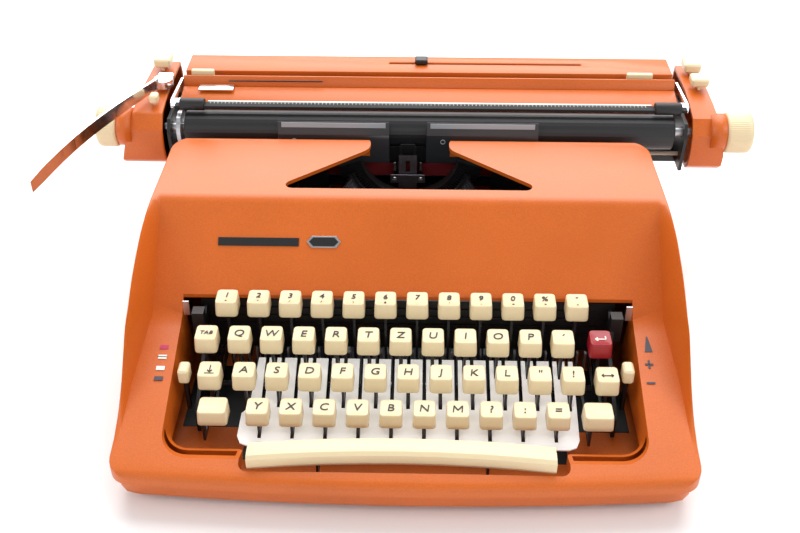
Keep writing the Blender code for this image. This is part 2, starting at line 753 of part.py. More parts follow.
# ---- keyboard: keys ----
def lever_low(y):
    share = (y - ROW_Y[3]) / (FULCRUM_Y - ROW_Y[3])
    return LEVER_FRONT_Z + share * (LEVER_REAR_Z - LEVER_FRONT_Z)


def key_cap(name, x, y, z, width, material, holder):
    """A cap that narrows upwards, with its edges taken off."""
    shape = bmesh.new()
    bmesh.ops.create_cube(shape, size=1.0)
    height = CAP_RISE + CAP_DROP
    bmesh.ops.scale(shape, vec=(width, CAP_DEPTH, height), verts=shape.verts)
    for corner in shape.verts:
        if corner.co.z < 0 and corner.co.y < 0:
            corner.co.x *= CAP_DRAFT
    top = z + (CAP_RISE - CAP_DROP) / 2
    bmesh.ops.translate(shape, vec=(x, y, top), verts=shape.verts)
    bmesh.ops.bevel(shape, geom=shape.edges, offset=1.4 * MM, segments=1, affect="EDGES")
    mesh = bpy.data.meshes.new(name)
    shape.to_mesh(mesh)
    shape.free()
    return place(name, mesh, material, holder)


def lever_outline(row, link_y):
    """Stem, lever and, where the row is joined, the tab down to its link bar."""
    y = ROW_Y[row]
    low = lever_low(y)
    high = ROW_Z[row] - CAP_DROP + 1.8 * MM
    rear = FULCRUM_Y + 3 * MM
    outline = [
        (y - 2.4 * MM, low),
        (y - 2.4 * MM, high),
        (y + 1.6 * MM, high),
        (y + 1.6 * MM, lever_low(y) + LEVER_HEIGHT),
        (rear, LEVER_REAR_Z + LEVER_HEIGHT),
        (rear, LEVER_REAR_Z),
    ]
    if link_y is not None:
        outline += [
            (link_y + 2 * MM, lever_low(link_y + 2 * MM)),
            (link_y + 2 * MM, 13.5 * MM),
            (link_y - 2 * MM, 13.5 * MM),
            (link_y - 2 * MM, lever_low(link_y - 2 * MM)),
        ]
    return outline


def key_seat(name):
    return seat(name + "_axis", ROOT, (0.0, FULCRUM_Y, FULCRUM_Z))


def key_row(row):
    """One bank of keys, tied by a link bar that runs beneath all the levers."""
    name = f"key_row_{row + 1}"
    holder = key_seat(name)
    link_y = LINK_FIRST_Y + row * LINK_STEP
    first = FIRST_KEY_X + ROW_STAGGER[row] * PITCH / 4
    last = first + (ROW_COUNT[row] - 1) * PITCH
    outline = lever_outline(row, link_y)
    reach = (first - 3 * MM, last + 3 * MM)
    bank = box(name, reach, (link_y - 2.6 * MM, link_y + 2.6 * MM), (12.6 * MM, 15.8 * MM), CREAM, holder)
    for index in range(ROW_COUNT[row]):
        x = first + index * PITCH
        stem = slab("stem", outline, "YZ", (x - LEVER_THICK / 2, x + LEVER_THICK / 2), None, holder)
        cap = key_cap("cap", x, ROW_Y[row], ROW_Z[row], CAP_WIDTH, None, holder)
        combine(bank, [stem, cap], "UNION")
    return bank


def single_key(name, cap_x, lever_x, row, width, material):
    """A key that works by itself."""
    holder = key_seat(name)
    cap = key_cap(name, cap_x, ROW_Y[row], ROW_Z[row], width, material, holder)
    reach = (lever_x - LEVER_THICK / 2, lever_x + LEVER_THICK / 2)
    stem = slab("stem", lever_outline(row, None), "YZ", reach, None, holder)
    return combine(cap, [stem], "UNION")


for row_index in range(4):
    key_row(row_index)
single_key("tab_key", -118.9 * MM + 0.9 * MM, -118.9 * MM, 1, CAP_WIDTH, CREAM)
single_key("shift_lock_key", -113.8 * MM, -113.8 * MM, 2, CAP_WIDTH, CREAM)
single_key("shift_key_left", -109.9 * MM, -116.4 * MM, 3, SHIFT_CAP_WIDTH, CREAM)
single_key("shift_key_right", 109.9 * MM, 106.4 * MM, 3, SHIFT_CAP_WIDTH, CREAM)
single_key("backspace_key", 113.8 * MM, 113.8 * MM, 1, CAP_WIDTH, RED)
single_key("margin_release_key", 116.4 * MM, 116.6 * MM, 2, CAP_WIDTH, CREAM)

BAR_SEAT = key_seat("space_bar")
SPACE_ARM_X = [slot_x(index) + PITCH / 8 for index in SPACE_ARM_PLACES]


def space_bar_ring(share):
    """A cross-section of the bar at a share of its half length."""
    x = BAR_CENTRE_X + share * BAR_HALF
    bow = BAR_BOW * share ** 2
    front = BAR_Y[0] - bow
    rear = BAR_Y[1] - bow
    return [
        (x, front + 1.5 * MM, BAR_Z[0]),
        (x, front, BAR_Z[0] + 3 * MM),
        (x, front, BAR_Z[1] - 2 * MM),
        (x, front + 2 * MM, BAR_Z[1] - 0.3 * MM),
        (x, (front + rear) / 2, BAR_Z[1]),
        (x, rear - 1 * MM, BAR_Z[1] - 0.5 * MM),
        (x, rear, BAR_Z[1] - 2 * MM),
        (x, rear, BAR_Z[0]),
    ]


bar = loft(
    "space_bar",
    [space_bar_ring(share) for share in (-1.0, -0.75, -0.5, -0.25, 0.0, 0.25, 0.5, 0.75, 1.0)],
    CREAM,
    BAR_SEAT,
)
arm_outline = [
    (16 * MM, 12.0 * MM),
    (16 * MM, BAR_Z[0] + 2 * MM),
    (20 * MM, BAR_Z[0] + 2 * MM),
    (20 * MM, 15.0 * MM),
    (FULCRUM_Y + 3 * MM, LEVER_REAR_Z + LEVER_HEIGHT),
    (FULCRUM_Y + 3 * MM, LEVER_REAR_Z),
]
arms = [slab("arm", arm_outline, "YZ", (x - 0.6 * MM, x + 0.6 * MM), None, BAR_SEAT) for x in SPACE_ARM_X]
combine(bar, arms, "UNION")

# ---- keyboard: the two selectors at the sides of the well ----
for name, side, y in (("colour_selector", -1, 66 * MM), ("touch_selector", 1, 70 * MM)):
    slider_z = rail_height(y) - 1 * MM
    holder = seat(name + "_axis", ROOT, (side * 129 * MM, y, slider_z))
    inner = sorted((side * 125.6 * MM, side * 132.0 * MM))
    stem_x = sorted((side * 127.6 * MM, side * 130.0 * MM))
    button_z = (slider_z - 4 * MM, slider_z + 6 * MM)
    button = box(name, inner, (y - 5 * MM, y + 5 * MM), button_z, CREAM, holder, 1.2 * MM)
    stem = box("stem", stem_x, (y - 2 * MM, y + 2 * MM), (18 * MM, slider_z), None, holder)
    combine(button, [stem], "UNION")

# ---- printing point: segment, typebars, guide, vibrator, ribbon, spools, card holders ----
BASKET_SEAT = seat("type_basket_axis", ROOT, (0.0, BASKET_Y, BASKET_Z))


def around_basket(radius, angle):
    """A point on the basket's arc, angles from straight down."""
    return (radius * math.sin(angle), BASKET_Z - radius * math.cos(angle))


segment_angles = [BASKET_HALF_ANGLE * 1.12 * (step / 10 - 1) for step in range(21)]
segment_outline = [around_basket(BASKET_PIVOT_RADIUS + 8 * MM, a) for a in segment_angles]
segment_outline += [around_basket(BASKET_PIVOT_RADIUS - 8 * MM, a) for a in reversed(segment_angles)]
slab("type_segment", segment_outline, "XZ", (BASKET_Y - 3 * MM, BASKET_Y + 5 * MM), BLACK, BASKET_SEAT)


def typebar_mesh(name):
    """The fan of typebars, joined by the ring they hang on."""
    ring_angles = [BASKET_HALF_ANGLE * 1.05 * (step / 12 - 1) for step in range(25)]
    outline = [around_basket(BASKET_PIVOT_RADIUS + 2 * MM, a) for a in ring_angles]
    outline += [around_basket(BASKET_PIVOT_RADIUS - 2 * MM, a) for a in reversed(ring_angles)]
    fan = slab(name, outline, "XZ", (BASKET_Y - 9 * MM, BASKET_Y - 6 * MM), BLACK, BASKET_SEAT)
    for index in range(TYPEBAR_COUNT):
        angle = BASKET_HALF_ANGLE * (2 * index / (TYPEBAR_COUNT - 1) - 1)
        root_x, root_z = around_basket(BASKET_PIVOT_RADIUS, angle)
        root = Vector((root_x, BASKET_Y - 7 * MM, root_z))
        head_x, head_z = around_basket(BASKET_PIVOT_RADIUS + 22 * MM * abs(math.sin(angle)) - 3 * MM, angle)
        head = Vector((head_x, BASKET_Y - 54 * MM + 16 * MM * (1 - math.cos(angle)), head_z + 2 * MM))
        shape = bmesh.new()
        bmesh.ops.create_cube(shape, size=1.0)
        length = (head - root).length
        bmesh.ops.scale(shape, vec=(TYPEBAR_WIDTH, length, 3.2 * MM), verts=shape.verts)
        aim = (head - root).to_track_quat("Y", "Z").to_matrix().to_4x4()
        bmesh.ops.transform(shape, matrix=Matrix.Translation((root + head) / 2) @ aim, verts=shape.verts)
        mesh = bpy.data.meshes.new("typebar")
        shape.to_mesh(mesh)
        shape.free()
        combine(fan, [place("typebar", mesh, None, BASKET_SEAT)], "UNION")
    return fan


typebar_mesh("typebars")

GUIDE_HALF = 6.2 * MM
GUIDE_TOP = 92 * MM
guide_side = [
    (PLATEN_FRONT - 6.0 * MM, 58.4 * MM),
    (PLATEN_FRONT + 8.0 * MM, 58.4 * MM),
    (PLATEN_FRONT + 8.0 * MM, 59.8 * MM),
    (PLATEN_FRONT - 3.8 * MM, 59.8 * MM),
    (PLATEN_FRONT - 1.4 * MM, GUIDE_TOP),
    (PLATEN_FRONT - 2.6 * MM, GUIDE_TOP),
    (PLATEN_FRONT - 5.4 * MM, 62 * MM),
]
guide = slab("type_guide", guide_side, "YZ", (-GUIDE_HALF - 1.5 * MM, GUIDE_HALF - 1.5 * MM), STEEL, ROOT)
guide_slot = box("guide_slot", (-2.9 * MM, -0.1 * MM), (225 * MM, 245 * MM), (80 * MM, 88 * MM), None, ROOT)
combine(guide, [guide_slot], "DIFFERENCE")

VIBRATOR_SEAT = seat("ribbon_vibrator_axis", ROOT, (-1.5 * MM, PLATEN_FRONT - 0.5 * MM, 66 * MM))
vibrator_outline = [
    (-11 * MM, 62 * MM),
    (8 * MM, 62 * MM),
    (8 * MM, 86 * MM),
    (5.4 * MM, 86 * MM),
    (5.4 * MM, 66 * MM),
    (-8.4 * MM, 66 * MM),
    (-8.4 * MM, 86 * MM),
    (-11 * MM, 86 * MM),
]
vibrator_y = (PLATEN_FRONT - 0.8 * MM, PLATEN_FRONT)
slab("ribbon_vibrator", vibrator_outline, "XZ", vibrator_y, STEEL, VIBRATOR_SEAT)
ribbon_y = (PLATEN_FRONT + 0.4 * MM, PLATEN_FRONT + 0.8 * MM)
box("ribbon", (-64 * MM, 61 * MM), ribbon_y, (RIBBON_LOW, RIBBON_LOW + RIBBON_HEIGHT), CLOTH, ROOT)

for side, x in (("left", -SPOOL_X), ("right", SPOOL_X)):
    holder = seat(f"ribbon_spool_{side}_axis", ROOT, (x, SPOOL_Y, 82 * MM))
    spool = rod(f"ribbon_spool_{side}", "Z", (x, SPOOL_Y, 82 * MM), 13 * MM, SPOOL_RADIUS, BLACK, holder, 24)
    bore = rod("bore", "Z", (x, SPOOL_Y, 81 * MM), 15 * MM, 3 * MM, None, holder, 10)
    combine(spool, [bore], "DIFFERENCE")

holder_line = PLATEN_Y - max(PLATEN_RADIUS, KNOB_RADIUS)      # the knobs pass behind the holders too
holder_side = [
    (holder_line - 3.8 * MM, 88 * MM),
    (holder_line - 2.6 * MM, 88 * MM),
    (holder_line - 1.7 * MM, 95 * MM),
    (holder_line - 0.8 * MM, 104.5 * MM),
    (holder_line + 0.4 * MM, 110.4 * MM),
    (holder_line - 0.6 * MM, 111 * MM),
    (holder_line - 2.0 * MM, 104.8 * MM),
    (holder_line - 2.9 * MM, 95 * MM),
]
for side, reach in (("left", (-89 * MM, -14 * MM)), ("right", (11 * MM, 86 * MM))):
    slab(f"card_holder_{side}", holder_side, "YZ", reach, CLEAR_GREY, ROOT)

# ---- carriage: frame and covers ----
CARRIAGE = seat("carriage_slide_axis", ROOT, (0.0, 268 * MM, 78 * MM))
plate_side = [
    (243 * MM, 78 * MM),
    (312 * MM, 78 * MM),
    (312 * MM, 112 * MM),
    (262 * MM, 112.6 * MM),
    (246 * MM, 112.6 * MM),
    (240.5 * MM, 104 * MM),
]
left_plate = (SIDE_PLATE_X[0], SIDE_PLATE_X[0] + PLATE_GAUGE)
right_plate = (SIDE_PLATE_X[1] - PLATE_GAUGE, SIDE_PLATE_X[1])
bed_x = (left_plate[0], right_plate[1])
bed = box("carriage_frame", bed_x, (258 * MM, 286 * MM), BED_Z, BLACK, CARRIAGE)
carriage_bars = [
    slab("plate_left", plate_side, "YZ", left_plate, None, CARRIAGE),
    slab("plate_right", plate_side, "YZ", right_plate, None, CARRIAGE),
    box("bar_rear", bed_x, (300 * MM, 306 * MM), (84 * MM, 100 * MM), None, CARRIAGE),
    box("rack_bar", bed_x, (286.8 * MM, 290.2 * MM), (104 * MM, 111 * MM), None, CARRIAGE),
]
combine(bed, carriage_bars, "UNION")
platen_hole = rod(
    "platen_hole",
    "X",
    (left_plate[0] - 5 * MM, PLATEN_Y, PLATEN_Z),
    right_plate[1] - left_plate[0] + 10 * MM,
    SHAFT_RADIUS + RUN,
    None,
    CARRIAGE,
    16,
)
feed_hole = rod(
    "feed_hole",
    "X",
    (left_plate[0] - 5 * MM, PLATEN_Y + 2 * MM, PLATEN_Z - FEED_DROP),
    right_plate[1] - left_plate[0] + 10 * MM,
    1.5 * MM + RUN,
    None,
    CARRIAGE,
    12,
)
combine(bed, [platen_hole, feed_hole], "DIFFERENCE")

cap_outline = [
    (246 * MM, 78.5 * MM),
    (312 * MM, 78.5 * MM),
    (318 * MM, 84 * MM),
    (COVER_REAR_Y, 112 * MM),
    (317 * MM, 121.2 * MM),
    (280 * MM, 121.2 * MM),
    (262 * MM, 119.6 * MM),
    (247 * MM, 116.4 * MM),
    (239.5 * MM, 107 * MM),
    (238 * MM, 96 * MM),
    (239.5 * MM, 84 * MM),
]


def scaled_outline(outline, inset):
    """The same outline drawn smaller by about the inset on every side."""
    middle_y = (outline[0][0] + outline[1][0]) / 2
    middle_z = 100 * MM
    reach_y = COVER_REAR_Y - 238 * MM
    reach_z = 43 * MM
    grow_y = 1 - 2 * inset / reach_y
    grow_z = 1 - 2 * inset / reach_z
    return [(middle_y + (y - middle_y) * grow_y, middle_z + (z - middle_z) * grow_z) for y, z in outline]


for side, reach in (("left", CAP_END_LEFT), ("right", CAP_END_RIGHT)):
    cap = slab(f"end_cap_{side}", cap_outline, "YZ", reach, ORANGE, CARRIAGE)
    if side == "left":
        inner_reach = (reach[0] + WALL, reach[1] + 2 * MM)
    else:
        inner_reach = (reach[0] - 2 * MM, reach[1] - WALL)
    cap_hollow = slab("cap_hollow", scaled_outline(cap_outline, WALL), "YZ", inner_reach, None, CARRIAGE)
    shaft_hole = rod(
        "shaft_hole",
        "X",
        (reach[0] - 3 * MM, PLATEN_Y, PLATEN_Z),
        reach[1] - reach[0] + 6 * MM,
        SHAFT_RADIUS + RUN,
        None,
        CARRIAGE,
        16,
    )
    combine(cap, [cap_hollow, shaft_hole], "DIFFERENCE")

PLATEN_REAR = PLATEN_Y + PLATEN_RADIUS
front_cover_side = [
    (PLATEN_REAR - 0.5 * MM, 112 * MM),
    (PLATEN_REAR + 1.0 * MM, 112 * MM),
    (PLATEN_REAR + 2.0 * MM, 115.4 * MM),
    (281 * MM, 117.6 * MM),
    (281 * MM, 119.8 * MM),
    (PLATEN_REAR + 1.4 * MM, 117.4 * MM),
    (PLATEN_REAR - 0.5 * MM, 116 * MM),
]
slab("front_cover", front_cover_side, "YZ", COVER_SPAN, ORANGE, CARRIAGE)
paper_table_side = [
    (281.6 * MM, 117.8 * MM),
    (283.4 * MM, 117.8 * MM),
    (286.2 * MM, 124.2 * MM),
    (286.2 * MM, 125.8 * MM),
    (285 * MM, 125.8 * MM),
    (281.6 * MM, 120.2 * MM),
]
slab("paper_table", paper_table_side, "YZ", COVER_SPAN, ORANGE, CARRIAGE)
rear_cover_side = [
    (292 * MM, 119 * MM),
    (293.8 * MM, 119 * MM),
    (294.4 * MM, COVER_TOP - 2 * MM),
    (316 * MM, COVER_TOP - 2 * MM),
    (COVER_REAR_Y - 2 * MM, 119 * MM),
    (COVER_REAR_Y - 3 * MM, 86 * MM),
    (COVER_REAR_Y - 1 * MM, 86 * MM),
    (COVER_REAR_Y, 120 * MM),
    (317.5 * MM, COVER_TOP),
    (293 * MM, COVER_TOP),
]
rear_cover = slab("rear_cover", rear_cover_side, "YZ", COVER_SPAN, ORANGE, CARRIAGE)
SLIDER_SLOT = (-16 * MM, 121 * MM)
SLIDER_Y = (306 * MM, 308.4 * MM)
rear_slot = box("rear_slot", SLIDER_SLOT, SLIDER_Y, (110 * MM, 140 * MM), None, CARRIAGE)
combine(rear_cover, [rear_slot], "DIFFERENCE")

# ---- carriage: platen, shaft, knobs, ratchet, feed roller ----
PLATEN_SEAT = seat("platen_axis", CARRIAGE, (0.0, PLATEN_Y, PLATEN_Z))


def tube_profile(start, end, outer, inner, chamfer):
    return [
        (start, inner),
        (end, inner),
        (end, outer - chamfer),
        (end - chamfer, outer),
        (start + chamfer, outer),
        (start, outer - chamfer),
    ]


bore_radius = SHAFT_RADIUS + CLEAR
turned("platen", tube_profile(*PLATEN_SPAN, PLATEN_RADIUS, bore_radius, 0.8 * MM), RUBBER, PLATEN_SEAT, 32)
shaft_start = CAP_END_LEFT[0] - KNOB_DEPTH * 0.6
shaft_end = CAP_END_RIGHT[1] + KNOB_DEPTH * 0.6
rod(
    "platen_shaft",
    "X",
    (shaft_start, PLATEN_Y, PLATEN_Z),
    shaft_end - shaft_start,
    SHAFT_RADIUS,
    STEEL,
    PLATEN_SEAT,
    16,
)
knob_left_end = CAP_END_LEFT[0] - RUN
knob_right_start = CAP_END_RIGHT[1] + RUN


def knob_profile(inner_face, outer_face):
    """A knob with a blind hole for the shaft, opening at its inner face."""
    depth = shaft_end + CLEAR if outer_face > inner_face else shaft_start - CLEAR
    lean = 1.5 * MM if outer_face > inner_face else -1.5 * MM
    return [
        (inner_face, bore_radius),
        (inner_face, KNOB_RADIUS),
        (outer_face - lean, KNOB_RADIUS * 0.97),
        (outer_face, KNOB_RADIUS * 0.86),
        (outer_face, 0.0),
        (depth, 0.0),
        (depth, bore_radius),
    ]


turned("knob_left", knob_profile(knob_left_end, knob_left_end - 14 * MM), CREAM, PLATEN_SEAT, 24)
turned("knob_right", knob_profile(knob_right_start, RIGHT_REACH), CREAM, PLATEN_SEAT, 24)
wheel_span = (PLATEN_SPAN[0] - 5.5 * MM, PLATEN_SPAN[0] - 2.5 * MM)
wheel_side = tube_profile(*wheel_span, PLATEN_RADIUS - 0.5 * MM, bore_radius, 0.2 * MM)
turned("ratchet_wheel", wheel_side, STEEL, PLATEN_SEAT, 30)

FEED_SEAT = seat("feed_roller_axis", CARRIAGE, (0.0, PLATEN_Y + 2 * MM, PLATEN_Z - FEED_DROP))
feed_start = (left_plate[1] - 4 * MM, PLATEN_Y + 2 * MM, PLATEN_Z - FEED_DROP)
feed = rod(
    "feed_roller",
    "X",
    feed_start,
    right_plate[0] - left_plate[1] + 8 * MM,
    1.5 * MM,
    RUBBER,
    FEED_SEAT,
    12,
)
rubbers = []
for start, end in ((-130 * MM, -90 * MM), (-50 * MM, -10 * MM), (30 * MM, 70 * MM), (110 * MM, 150 * MM)):
    rubbers.append(rod("tyre", "X", (start, *feed_start[1:]), end - start, FEED_RADIUS, None, FEED_SEAT, 16))
combine(feed, rubbers, "UNION")

# ---- carriage: paper bail ----
BAIL_SEAT = seat("paper_bail_axis", CARRIAGE, (0.0, *BAIL_PIVOT))
BAIL_ARM_LEFT = (-162.9 * MM, -161.3 * MM)
BAIL_ARM_RIGHT = (185.6 * MM, 187.2 * MM)
bail_arm = [
    (BAIL_PIVOT[0] - 2 * MM, BAIL_PIVOT[1] - 3.6 * MM),
    (BAIL_PIVOT[0] + 3 * MM, BAIL_PIVOT[1] - 2 * MM),
    (BAIL_PIVOT[0] + 3 * MM, BAIL_PIVOT[1] + 2 * MM),
    (BAIL_PIVOT[0] - 2 * MM, BAIL_PIVOT[1] + 4 * MM),
    (BAIL_BAR[0] + 2 * MM, BAIL_BAR[1] + 3 * MM),
    (BAIL_BAR[0] - 2.5 * MM, BAIL_BAR[1] + 2 * MM),
    (BAIL_BAR[0] - 2.5 * MM, BAIL_BAR[1] - 2 * MM),
    (BAIL_BAR[0] + 2 * MM, BAIL_BAR[1] - 2.6 * MM),
]
bail_bar = [
    (BAIL_BAR[0] - 2.4 * MM, BAIL_BAR[1] - 1.6 * MM),
    (BAIL_BAR[0] + 3.6 * MM, BAIL_BAR[1] + 1.4 * MM),
    (BAIL_BAR[0] + 3.1 * MM, BAIL_BAR[1] + 2.4 * MM),
    (BAIL_BAR[0] - 2.9 * MM, BAIL_BAR[1] - 0.6 * MM),
]
bail = slab("paper_bail", bail_bar, "YZ", (BAIL_ARM_LEFT[0], BAIL_ARM_RIGHT[1]), CHROME, BAIL_SEAT)
GRIP_LEFT = (-156.6 * MM, -139.6 * MM)
GRIP_RIGHT = (164.4 * MM, 182.4 * MM)
bail_extras = [
    slab("arm_left", bail_arm, "YZ", BAIL_ARM_LEFT, None, BAIL_SEAT),
    slab("arm_right", bail_arm, "YZ", BAIL_ARM_RIGHT, None, BAIL_SEAT),
]
for reach in (GRIP_LEFT, GRIP_RIGHT):
    bail_extras.append(
        rod("grip", "X", (reach[0], *BAIL_BAR), reach[1] - reach[0], GRIP_RADIUS, None, BAIL_SEAT, 16)
    )
combine(bail, bail_extras, "UNION")

# ---- carriage: return lever ----
LEVER_SEAT = seat("return_lever_axis", CARRIAGE, (*LEVER_PIVOT, 126 * MM))
BLADE_HALF_THICK = 0.9 * MM
BLADE_STEPS = 10


def blade_spot(share):
    """The blade's centre line: a shallow bow that falls a little towards the tip."""
    start = Vector((LEVER_PIVOT[0] - 3 * MM, LEVER_PIVOT[1] - 4 * MM, 127.2 * MM))
    end = Vector((LEVER_TIP[0] + BLADE_HALF_THICK, LEVER_TIP[1], 118.6 * MM))
    spot = start.lerp(end, share)
    spot.x -= 7 * MM * math.sin(math.pi * share)
    spot.y -= 2 * MM * math.sin(math.pi * share)
    return spot


def blade_ring(share):
    spot = blade_spot(share)
    ahead = (blade_spot(min(share + 0.01, 1.0)) - blade_spot(max(share - 0.01, 0.0))).normalized()
    side = Vector((ahead.y, -ahead.x, 0.0)).normalized() * BLADE_HALF_THICK
    half = between(share, ((0.0, 3.6 * MM), (0.25, 4.2 * MM), (0.9, 4.6 * MM), (1.0, 4.0 * MM)))
    up = Vector((0.0, 0.0, half))
    return [spot - side - up, spot + side - up, spot + side + up, spot - side + up]


blade_rings = [blade_ring(step / BLADE_STEPS) for step in range(BLADE_STEPS + 1)]
blade = loft("return_lever", blade_rings, CHROME, LEVER_SEAT)
hub = rod("hub", "Z", (*LEVER_PIVOT, 123.0 * MM), 5.5 * MM, 6.5 * MM, None, LEVER_SEAT, 20)
thumb = box(
    "thumb",
    (LEVER_PIVOT[0] - 6 * MM, LEVER_PIVOT[0] + 5 * MM),
    (LEVER_PIVOT[1] + 2 * MM, LEVER_PIVOT[1] + 12 * MM),
    (123.4 * MM, 127.4 * MM),
    None,
    LEVER_SEAT,
    1.0 * MM,
)
combine(blade, [hub, thumb], "UNION")


# ---- carriage: levers, stops and slides ----
def small_lever(name, x, y, z, pivot_y, pivot_z, arm_z):
    """A cream finger piece on a thin arm that turns about X."""
    middle = (x[0] + x[1]) / 2
    holder = seat(name + "_axis", CARRIAGE, (middle, pivot_y, pivot_z))
    tip = box(name, x, y, z, CREAM, holder, 1.2 * MM)
    arm = box(
        "arm",
        (middle - 1 * MM, middle + 1 * MM),
        (min(y[0] + 2 * MM, pivot_y - 2 * MM), max(y[1] - 2 * MM, pivot_y + 2 * MM)),
        (arm_z, z[0] + 2 * MM),
        None,
        holder,
    )
    return combine(tip, [arm], "UNION")


small_lever(
    "carriage_release_left",
    (-184 * MM, -172 * MM),
    (298 * MM, 312 * MM),
    (124.5 * MM, 131 * MM),
    305 * MM,
    122.6 * MM,
    121.6 * MM,
)
small_lever(
    "carriage_release_right",
    (193 * MM, 205 * MM),
    (298 * MM, 312 * MM),
    (124.5 * MM, 131 * MM),
    305 * MM,
    122.6 * MM,
    121.6 * MM,
)
small_lever(
    "paper_release_lever",
    (194 * MM, 206 * MM),
    (276 * MM, 288 * MM),
    (124.5 * MM, 130.5 * MM),
    282 * MM,
    122.6 * MM,
    121.6 * MM,
)
small_lever(
    "line_space_selector",
    (-178 * MM, -172 * MM),
    (251 * MM, 259 * MM),
    (121 * MM, 127 * MM),
    255 * MM,
    120.6 * MM,
    119.6 * MM,
)

for side, reach in (("left", (-155 * MM, -139 * MM)), ("right", (151 * MM, 169 * MM))):
    middle = (reach[0] + reach[1]) / 2
    holder = seat(f"margin_stop_{side}_axis", CARRIAGE, (middle, 289 * MM, 112 * MM))
    stop_z = (119.5 * MM, 128.5 * MM)
    stop = box(f"margin_stop_{side}", reach, (287.4 * MM, 291 * MM), stop_z, CREAM, holder, 0.6 * MM)
    leg_x = (middle - 3 * MM, middle + 3 * MM)
    leg = box("leg", leg_x, (287.8 * MM, 289.6 * MM), (111.4 * MM, 121 * MM), None, holder)
    combine(stop, [leg], "UNION")

GUIDE_SEAT = seat("paper_side_guide_axis", CARRIAGE, (-136 * MM, 275 * MM, 121 * MM))
box(
    "paper_side_guide",
    (-148 * MM, -124 * MM),
    (272.5 * MM, 280.5 * MM),
    (120.4 * MM, 121.6 * MM),
    CHROME,
    GUIDE_SEAT,
)

SLIDER_SEAT = seat("rear_slider_axis", CARRIAGE, (7 * MM, 307.2 * MM, COVER_TOP))
rear_knob = box(
    "rear_slider",
    (2.5 * MM, 11.5 * MM),
    (303.2 * MM, 311.2 * MM),
    (COVER_TOP + CLEAR, COVER_TOP + 4 * MM),
    BLACK,
    SLIDER_SEAT,
    0.8 * MM,
)
tongue = box(
    "tongue",
    (4.5 * MM, 9.5 * MM),
    (SLIDER_Y[0] + CLEAR, SLIDER_Y[1] - CLEAR),
    (COVER_TOP - 5 * MM, COVER_TOP + 1 * MM),
    None,
    SLIDER_SEAT,
)
combine(rear_knob, [tongue], "UNION")
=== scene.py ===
"""Looks of the portable typewriter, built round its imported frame."""
import json
import math

import bmesh
import bpy
from mathutils import Euler, Matrix, Vector

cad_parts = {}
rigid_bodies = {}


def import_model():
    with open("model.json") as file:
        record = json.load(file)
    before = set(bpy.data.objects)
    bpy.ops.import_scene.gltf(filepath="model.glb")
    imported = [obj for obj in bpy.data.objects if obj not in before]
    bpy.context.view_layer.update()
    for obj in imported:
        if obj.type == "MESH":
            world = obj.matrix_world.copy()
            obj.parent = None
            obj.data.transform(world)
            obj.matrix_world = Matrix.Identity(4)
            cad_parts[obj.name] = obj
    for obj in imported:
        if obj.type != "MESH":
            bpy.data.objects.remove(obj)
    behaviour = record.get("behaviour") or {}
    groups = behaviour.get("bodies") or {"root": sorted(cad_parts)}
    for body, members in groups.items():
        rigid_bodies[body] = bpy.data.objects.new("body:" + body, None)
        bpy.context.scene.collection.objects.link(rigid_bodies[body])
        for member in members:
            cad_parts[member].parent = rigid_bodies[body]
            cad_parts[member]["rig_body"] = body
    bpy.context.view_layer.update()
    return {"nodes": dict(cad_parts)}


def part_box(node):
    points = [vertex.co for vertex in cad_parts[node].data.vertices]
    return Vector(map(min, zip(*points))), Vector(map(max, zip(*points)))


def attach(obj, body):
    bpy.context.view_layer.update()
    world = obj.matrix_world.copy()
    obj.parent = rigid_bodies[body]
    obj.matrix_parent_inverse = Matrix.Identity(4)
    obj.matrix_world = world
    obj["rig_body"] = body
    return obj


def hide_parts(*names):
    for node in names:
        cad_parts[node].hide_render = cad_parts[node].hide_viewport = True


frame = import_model()

# ---------------------------------------------------------------------------------------------------------
# Where the machine stands. The case's middle plane and the front of its lip are the two lines that its
# maker would measure from, so every place below is given from them, in millimetres turned to metres.
MM = 0.001
case_low, case_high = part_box("upper_shell")
LIP_FRONT = -3.0 * MM
ORIGIN = Vector(((case_low.x + case_high.x) / 2, case_low.y - LIP_FRONT, 0.0))
SCENE = bpy.context.scene


def at(x, y, z):
    """A point given in millimetres from the case's middle, its lip and the desk."""
    return Vector((x * MM, y * MM, z * MM)) + ORIGIN


# ---------------------------------------------------------------------------------------------------------
# Studio: a pale desk, one broad light overhead, a weaker one at each side and a bright surrounding.
SCENE.view_settings.view_transform = "Standard"
studio = bpy.data.worlds.new("studio")
SCENE.world = studio
studio.use_nodes = True
studio.node_tree.nodes["Background"].inputs["Color"].default_value = (1.0, 1.0, 1.0, 1.0)
studio.node_tree.nodes["Background"].inputs["Strength"].default_value = 0.44


def soft_light(name, place, target, size, power):
    lamp = bpy.data.lights.new(name, "AREA")
    lamp.shape = "RECTANGLE"
    lamp.size, lamp.size_y = size
    lamp.energy = power
    holder = bpy.data.objects.new(name, lamp)
    SCENE.collection.objects.link(holder)
    holder.location = place
    holder.rotation_euler = (Vector(target) - Vector(place)).to_track_quat("-Z", "Y").to_euler()


soft_light("overhead", (0.05, 0.45, 1.1), (0.0, 0.0, 0.05), (1.3, 0.7), 12.0)
soft_light("behind", (0.0, 1.7, 1.15), (0.0, 0.0, 0.1), (2.6, 1.3), 40.0)
soft_light("front_fill", (0.0, -1.5, 0.55), (0.0, -0.1, 0.04), (1.6, 0.5), 4.0)
soft_light("left_fill", (-1.0, -0.5, 0.7), (0.0, 0.0, 0.05), (0.6, 0.6), 4.0)
soft_light("right_fill", (1.0, -0.4, 0.8), (0.0, 0.0, 0.05), (0.6, 0.6), 5.0)

